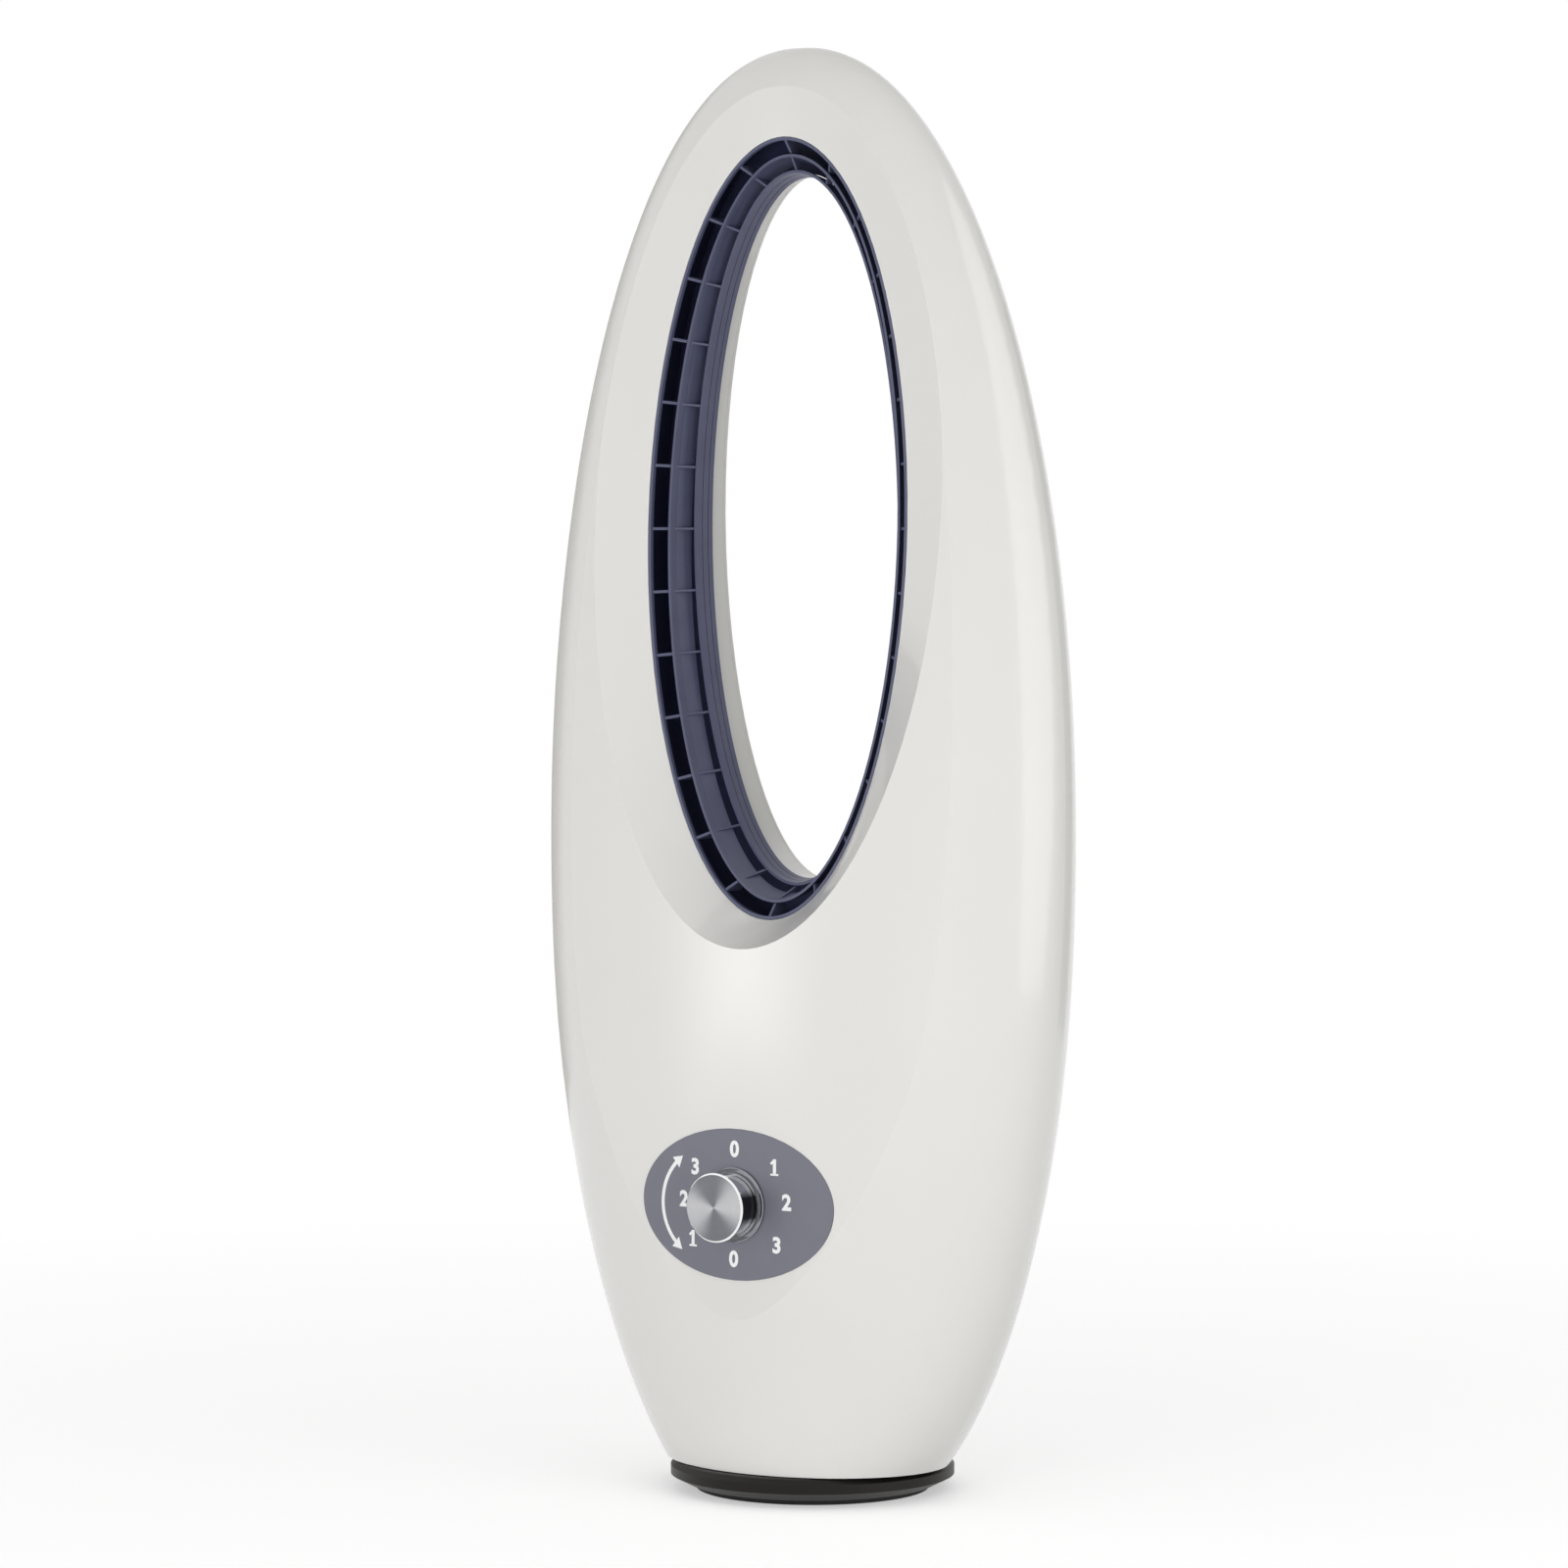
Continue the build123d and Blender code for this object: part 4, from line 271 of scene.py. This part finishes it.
def stacked_laminations():
    """Punched steel sheets, stacked: fine dark lines round the height, one for each sheet."""
    material, tree = start_material("stacked_laminations")
    place = add_node(tree, "TexCoord", {}).outputs["Object"]
    sheets = add_node(tree, "TexWave", {
        "Vector": place, "Scale": 2 * math.pi / (WAVE_RATE * SHEET_THICKNESS),
    }, bands_direction="Z")
    tone = add_node(tree, "Mix", {0: sheets.outputs["Fac"], 6: linear("#2C2A28"), 7: linear("#77736E")},
                    data_type="RGBA")
    bump = add_node(tree, "Bump", {"Height": sheets.outputs["Fac"], "Distance": 0.1 * MM})
    shader = add_node(tree, "BsdfPrincipled", {
        "Base Color": tone.outputs[2], "Metallic": 1.0, "Roughness": 0.45, "Normal": bump.outputs[0],
    })
    add_node(tree, "OutputMaterial", {"Surface": shader.outputs[0]})
    return material


# Glossy ABS with a pearl tint: smooth lacquer over a soft off-white, with a trace of orange peel.
pearl_abs = moulded(
    "gloss_pearl_abs", ("#E3E2DE", "#E6E5E2"), patch_mm=60.0, grain_mm=9.0, depth_mm=0.004,
    surface={"Roughness": 0.22, "IOR": 1.5, "Coat Weight": 0.6, "Coat Roughness": 0.04})
# Satin ABS in dark blue-grey: fine spark-eroded texture that softens highlights.
slate_abs = moulded(
    "satin_slate_abs", ("#4C4F69", "#5A5D77"), patch_mm=20.0, grain_mm=0.5, depth_mm=0.03,
    surface={"Roughness": 0.42, "IOR": 1.5})
# Matt dark blue polypropylene: the channel behind the grille swallows most of the light.
duct_polypropylene = moulded(
    "matt_blue_polypropylene", ("#2A2D49", "#363A5A"), patch_mm=15.0, grain_mm=0.6, depth_mm=0.03,
    surface={"Roughness": 0.65, "IOR": 1.49})
# Satin polycarbonate inlay: even slate grey with a fine texture.
panel_polycarbonate = moulded(
    "satin_grey_polycarbonate", ("#6F6F7B", "#747480"), patch_mm=12.0, grain_mm=0.35, depth_mm=0.01,
    surface={"Roughness": 0.38, "IOR": 1.58})
# Screen-printed ink: flat white and slightly raised.
print_ink = moulded(
    "white_screen_ink", ("#F2F2F2", "#FBFBFB"), patch_mm=3.0, grain_mm=0.3, depth_mm=0.005,
    surface={"Roughness": 0.5, "IOR": 1.5})
# Satin ABS in black-brown, for the turning base.
base_abs = moulded(
    "satin_black_brown_abs", ("#0D0A08", "#14110D"), patch_mm=25.0, grain_mm=0.5, depth_mm=0.02,
    surface={"Roughness": 0.42, "IOR": 1.33})
# Moulded grey ABS for what the body hides.
inner_abs = moulded(
    "moulded_grey_abs", ("#6E7072", "#7C7E80"), patch_mm=18.0, grain_mm=0.7, depth_mm=0.04,
    surface={"Roughness": 0.5, "IOR": 1.5})
# Natural ABS for the impeller: ivory and slightly waxy.
impeller_abs = moulded(
    "natural_ivory_abs", ("#CFCCC0", "#DAD7CC"), patch_mm=18.0, grain_mm=0.7, depth_mm=0.03,
    surface={"Roughness": 0.4, "IOR": 1.5})
# Natural acetal: dense, milky and slippery, for gears, cage and washer.
milky_acetal = moulded(
    "natural_acetal", ("#DEDCD4", "#EBE9E2"), patch_mm=8.0, grain_mm=0.6, depth_mm=0.01,
    surface={"Roughness": 0.32, "IOR": 1.48})
# Moulded rubber: matt and almost black, with a slight bloom.
moulded_rubber = moulded(
    "moulded_rubber", ("#121213", "#1E1E1F"), patch_mm=6.0, grain_mm=0.4, depth_mm=0.05,
    surface={"Roughness": 0.78, "IOR": 1.52})
# Baked enamel on the motor can: even dark grey with a little orange peel.
baked_enamel = moulded(
    "baked_grey_enamel", ("#3A3B3E", "#424346"), patch_mm=10.0, grain_mm=1.5, depth_mm=0.02,
    surface={"Roughness": 0.3, "IOR": 1.5, "Coat Weight": 0.3, "Coat Roughness": 0.1})
# Polished chrome plate on the collar: clean, bright and only faintly streaked.
polished_chrome = drawn_metal(
    "polished_chrome", ("#8E8F94", "#A2A3A7"), streak_mm=2.0, stretch=1.0, roughness=0.14, depth_mm=0.0005)
# Zinc plate on screws, nuts and brackets: pale and slightly blue.
zinc_plate = drawn_metal(
    "zinc_plated_steel", ("#A9ADB1", "#C4C7C9"), streak_mm=1.5, stretch=3.0, roughness=0.3)
# Ground steel: races, balls, shafts and the weight.
ground_steel = drawn_metal(
    "ground_steel", ("#8C8B89", "#A9A8A6"), streak_mm=0.8, stretch=6.0, roughness=0.28)
# Turned brass on the switch's nut.
turned_brass = drawn_metal(
    "turned_brass", ("#B08A3E", "#C9A452"), streak_mm=0.8, stretch=4.0, roughness=0.25)
# Deep-drawn aluminium can of the capacitor.
drawn_aluminium = drawn_metal(
    "drawn_aluminium", ("#BDBEC0", "#D3D4D5"), streak_mm=0.7, stretch=8.0, roughness=0.3)
spun_aluminium = spun_knob()
reticulated_foam = open_foam()
laminations = stacked_laminations()

FINISHES = {
    pearl_abs: ["front_shell", "rear_shell", "loop_liner"],
    slate_abs: ["outlet_frame", "guide_blade", "inner_ring"],
    duct_polypropylene: ["air_duct"],
    panel_polycarbonate: ["control_panel"],
    spun_aluminium: ["knob"],
    polished_chrome: ["knob_collar"],
    base_abs: ["base_cover", "base_plate"],
    moulded_rubber: ["rubber_foot", "cord_gland", "duct_adapter", "motor_pads"],
    inner_abs: ["rotary_switch", "body_floor", "blower_stand", "inlet_ring", "blower_housing", "diffuser",
                "terminal_block"],
    impeller_abs: ["impeller"],
    milky_acetal: ["fixed_gear", "pinion", "ball_cage", "thrust_washer"],
    baked_enamel: ["motor_can"],
    laminations: ["motor_stator"],
    reticulated_foam: ["intake_filter"],
    drawn_aluminium: ["motor_capacitor"],
    turned_brass: ["switch_nut"],
    ground_steel: ["upper_race", "lower_race", "bearing_balls", "ballast", "dial_shaft", "swing_shaft",
                   "motor_rotor"],
    zinc_plate: ["shell_screws", "floor_screws", "base_screws", "pivot_tube", "pivot_screws", "lock_nut",
                 "swing_motor", "swing_motor_screws", "motor_end_plate", "motor_bolts", "impeller_nut"],
}
for material, names in FINISHES.items():
    for name in names:
        parts[name].data.materials.clear()
        parts[name].data.materials.append(material)


# ================================================================ small helpers
def deselect():
    """Leaves edit mode, with nothing selected."""
    if bpy.context.object and bpy.context.object.mode != "OBJECT":
        bpy.ops.object.mode_set(mode="OBJECT")
    bpy.ops.object.select_all(action="DESELECT")


def settle(name, material):
    """Names the active object, gives it its material and moves its place into its mesh."""
    piece = bpy.context.object
    piece.name = name
    piece.data.name = name
    bpy.ops.object.transform_apply(location=True, rotation=True, scale=True)
    piece.data.materials.clear()
    piece.data.materials.append(material)
    return piece


def join_into(piece):
    """Joins the new, selected primitive to a piece."""
    piece.select_set(True)
    bpy.context.view_layer.objects.active = piece
    bpy.ops.object.join()


# ================================================================ dial print
def lay_on_panel(piece):
    """Presses a flat print onto the crowned panel, a hair above it, and lets it ride on the head."""
    press = piece.modifiers.new("press", "SHRINKWRAP")
    press.target = parts["control_panel"]
    press.wrap_method = "PROJECT"
    press.use_project_y = True
    press.use_project_z = False
    press.use_positive_direction = True
    press.use_negative_direction = True
    press.offset = PRINT_LIFT
    bpy.ops.object.modifier_apply(modifier="press")
    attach(piece, "head")


def panel_front():
    """Depth a little ahead of the panel, where prints start before they are pressed on."""
    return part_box("control_panel")[0][1] - PRINT_START


def add_stroke(digit, place, length, width, slope):
    """Joins one straight stroke to a digit."""
    deselect()
    bpy.ops.mesh.primitive_plane_add(size=1.0, location=place, rotation=(math.pi / 2, -slope, 0))
    bpy.context.object.scale = (length, width, 1.0)
    join_into(digit)


def add_flag_and_foot(digit):
    """Gives a plain 1 the stroke that slopes down to the left from its top, and the bar under it."""
    corners = [digit.matrix_world @ vertex.co for vertex in digit.data.vertices]
    left, right = min(corner.x for corner in corners), max(corner.x for corner in corners)
    low, top = min(corner.z for corner in corners), max(corner.z for corner in corners)
    depth = corners[0].y
    reach = FLAG_LENGTH / 2 * math.cos(FLAG_SLOPE)
    flag_place = (left + FLAG_WIDTH / 2 - reach, depth, top - FLAG_WIDTH / 2 - reach)
    foot_place = ((left + right) / 2, depth, low + FOOT_WIDTH / 2)
    add_stroke(digit, flag_place, FLAG_LENGTH, FLAG_WIDTH, FLAG_SLOPE)
    add_stroke(digit, foot_place, FOOT_LENGTH, FOOT_WIDTH, 0.0)


def printed_digit(text, right_mm, up_mm, name):
    """One upright digit of the dial, centred at its place."""
    place = (right_mm * MM, panel_front(), DIAL_HEIGHT + up_mm * MM)
    deselect()
    bpy.ops.object.text_add(location=place, rotation=(math.pi / 2, 0, 0))
    glyph = bpy.context.object
    glyph.data.body = text
    glyph.data.size = DIGIT_SIZE
    glyph.data.align_x = "CENTER"
    glyph.data.align_y = "CENTER"
    glyph.data.resolution_u = DIGIT_STEPS
    glyph.data.offset = DIGIT_BOLD
    bpy.ops.object.convert(target="MESH")
    if text == "1":
        add_flag_and_foot(bpy.context.object)
    digit = settle(name, print_ink)
    bpy.ops.object.mode_set(mode="EDIT")
    bpy.ops.mesh.select_all(action="SELECT")
    bpy.ops.mesh.remove_doubles(threshold=DIGIT_MERGE)
    bpy.ops.object.mode_set(mode="OBJECT")
    lay_on_panel(digit)


def double_arrow():
    """Curved arrow with a head at each end, left of the digits."""
    centre = Vector((ARROW_CENTRE, panel_front(), DIAL_HEIGHT - ARROW_DROP))
    sweep_start = math.pi - ARROW_HALF_SWEEP
    deselect()
    bpy.ops.mesh.primitive_plane_add(size=ARROW_WIDTH, location=centre)
    band = bpy.context.object
    # the plane loses all but one edge, and that edge is spun into the band
    for vertex in band.data.vertices:
        vertex.select = vertex.co.y > 0
    for shape in (*band.data.edges, *band.data.polygons):
        shape.select = False
    bpy.ops.object.mode_set(mode="EDIT")
    bpy.ops.mesh.delete(type="VERT")
    bpy.ops.mesh.select_all(action="SELECT")
    bpy.ops.transform.translate(value=(ARROW_RADIUS, ARROW_WIDTH / 2, 0))
    bpy.ops.transform.rotate(value=sweep_start, orient_axis="Y", center_override=centre)
    bpy.ops.mesh.spin(steps=ARROW_STEPS, angle=2 * ARROW_HALF_SWEEP, center=centre, axis=(0, 1, 0))
    bpy.ops.object.mode_set(mode="OBJECT")
    for side in (-1, 1):
        angle = math.pi + side * ARROW_HALF_SWEEP
        place = centre + ARROW_RADIUS * Vector((math.cos(angle), 0, math.sin(angle)))
        turn = -angle if side > 0 else math.pi - angle
        deselect()
        bpy.ops.mesh.primitive_circle_add(vertices=3, radius=ARROW_HEAD, fill_type="NGON", location=place,
                                          rotation=(math.pi / 2, turn, 0))
        join_into(band)
    lay_on_panel(settle("dial_arrow", print_ink))


for number, (text, right_mm, up_mm) in enumerate(LEGENDS):
    printed_digit(text, right_mm, up_mm, f"dial_digit_{number}")
double_arrow()


# ================================================================ studio
def seen_as_white(tree):
    """1 for what the eye sees, also in reflections and through glass, and 0 for light on the object."""
    ray = add_node(tree, "LightPath", {})
    plain = add_node(tree, "Math", {0: ray.outputs["Is Camera Ray"], 1: ray.outputs["Is Glossy Ray"]},
                     operation="MAXIMUM")
    return add_node(tree, "Math", {0: plain.outputs[0], 1: ray.outputs["Is Transmission Ray"]},
                    operation="MAXIMUM").outputs[0]


def studio_floor():
    """Pale floor that keeps the shadow near the fan and runs out to white."""
    deselect()
    bpy.ops.mesh.primitive_circle_add(vertices=64, radius=FLOOR_RADIUS, fill_type="NGON",
                                      location=(0, 0, -FLOOR_DROP))
    material, tree = start_material("studio_floor")
    place = add_node(tree, "TexCoord", {}).outputs["Object"]
    away = add_node(tree, "VectorMath", {0: place}, operation="LENGTH")
    far = add_node(tree, "MapRange", {
        "Value": away.outputs["Value"], "From Min": SHADOW_REACH, "From Max": WHITE_REACH,
    })
    paper = add_node(tree, "BsdfPrincipled", {"Base Color": linear("#E4E4E4"), "Roughness": 0.9})
    glow = add_node(tree, "Emission", {"Color": linear("#FFFFFF"), "Strength": PAPER_GLOW})
    near_paper = add_node(tree, "AddShader", {0: paper.outputs[0], 1: glow.outputs[0]})
    white = add_node(tree, "Emission", {"Color": linear("#FFFFFF"), "Strength": 1.0})
    shown = add_node(tree, "MixShader", {0: far.outputs[0], 1: near_paper.outputs[0], 2: white.outputs[0]})
    whole = add_node(tree, "MixShader", {0: seen_as_white(tree), 1: paper.outputs[0], 2: shown.outputs[0]})
    add_node(tree, "OutputMaterial", {"Surface": whole.outputs[0]})
    settle("studio_floor", material)


def studio_air():
    """White surroundings to the eye and in reflections, and a plain soft light on the object."""
    world = bpy.data.worlds.new("studio")
    bpy.context.scene.world = world
    world.use_nodes = True
    tree = world.node_tree
    tree.nodes.clear()
    strength = add_node(tree, "MapRange", {"Value": seen_as_white(tree), "To Min": AMBIENT, "To Max": 1.0})
    air = add_node(tree, "Background", {"Color": linear("#FFFFFF"), "Strength": strength.outputs[0]})
    add_node(tree, "OutputWorld", {"Surface": air.outputs[0]})


def round_the_fan(azimuth_deg, distance, height):
    """A place at an azimuth from straight ahead towards +X."""
    azimuth = math.radians(azimuth_deg)
    return Vector((distance * math.sin(azimuth), -distance * math.cos(azimuth), height))


def softbox(name, around, size, power, soft, lights, shines, aim):
    """An area lamp that fades over a share of its reach, and lights the fan, shows in its gloss or both."""
    lamp = bpy.data.lights.new(name, "AREA")
    lamp.shape = "RECTANGLE"
    lamp.size, lamp.size_y = size
    lamp.energy = power
    lamp.use_nodes = True
    tree = lamp.node_tree
    tree.nodes.clear()
    spot = add_node(tree, "NewGeometry", {}).outputs["Parametric"]
    offset = add_node(tree, "VectorMath", {0: spot, 1: (0.5, 0.5, 0.0)}, operation="SUBTRACT")
    flat = add_node(tree, "VectorMath", {0: offset.outputs[0], 1: (2.0, 2.0, 0.0)}, operation="MULTIPLY")
    reach = add_node(tree, "VectorMath", {0: flat.outputs[0]}, operation="LENGTH")
    fade = add_node(tree, "MapRange", {
        "Value": reach.outputs["Value"], "From Min": 1.0 - soft, "From Max": 1.0,
        "To Min": 1.0, "To Max": 0.0,
    }, interpolation_type="SMOOTHSTEP")
    glow = add_node(tree, "Emission", {"Strength": fade.outputs[0]})
    add_node(tree, "OutputLight", {"Surface": glow.outputs[0]})
    holder = bpy.data.objects.new(name, lamp)
    holder.location = round_the_fan(*around)
    holder.rotation_euler = (Vector(aim) - holder.location).to_track_quat("-Z", "Y").to_euler()
    holder.visible_diffuse = lights
    holder.visible_glossy = shines
    bpy.context.collection.objects.link(holder)


def grey_card(name, around, size, shade, aim):
    """A card that only reflections see, with soft edges, so that gloss and metal show their shape."""
    place = round_the_fan(*around)
    turn = (Vector(aim) - place).to_track_quat("Z", "Y").to_euler()
    deselect()
    bpy.ops.mesh.primitive_plane_add(size=1.0, location=place, rotation=turn)
    card = bpy.context.object
    card.name = name
    card.scale = (size[0], size[1], 1.0)
    material, tree = start_material(name)
    spot = add_node(tree, "TexCoord", {}).outputs["Generated"]
    offset = add_node(tree, "VectorMath", {0: spot, 1: (0.5, 0.5, 0.5)}, operation="SUBTRACT")
    reach = add_node(tree, "VectorMath", {0: offset.outputs[0]}, operation="LENGTH")
    fade = add_node(tree, "MapRange", {"Value": reach.outputs["Value"], "From Min": 0.25, "From Max": 0.5})
    grey = add_node(tree, "Emission", {"Color": linear(shade), "Strength": 1.0})
    clear = add_node(tree, "BsdfTransparent", {})
    whole = add_node(tree, "MixShader", {0: fade.outputs[0], 1: grey.outputs[0], 2: clear.outputs[0]})
    add_node(tree, "OutputMaterial", {"Surface": whole.outputs[0]})
    card.data.materials.append(material)
    card.visible_camera = False
    card.visible_diffuse = False
    card.visible_transmission = False
    card.visible_shadow = False


def camera():
    """The camera where the photograph was taken from."""
    view = bpy.data.cameras.new("view")
    view.lens = LENS_MM
    view.sensor_width = SENSOR_MM
    ahead = Vector((math.sin(VIEW_AZIMUTH), -math.cos(VIEW_AZIMUTH), 0.0))
    left = Vector((-math.cos(VIEW_AZIMUTH), -math.sin(VIEW_AZIMUTH), 0.0))
    holder = bpy.data.objects.new("view", view)
    holder.location = VIEW_DISTANCE * ahead + Vector((0.0, 0.0, VIEW_HEIGHT))
    aim = AIM_LEFT * left + Vector((0.0, 0.0, AIM_HEIGHT))
    holder.rotation_euler = (aim - holder.location).to_track_quat("-Z", "Y").to_euler()
    bpy.context.collection.objects.link(holder)
    bpy.context.scene.camera = holder


studio_floor()
studio_air()
for lamp in LAMPS:
    softbox(*lamp)
for card in CARDS:
    grey_card(*card)
camera()
bpy.context.scene.view_settings.view_transform = "Standard"
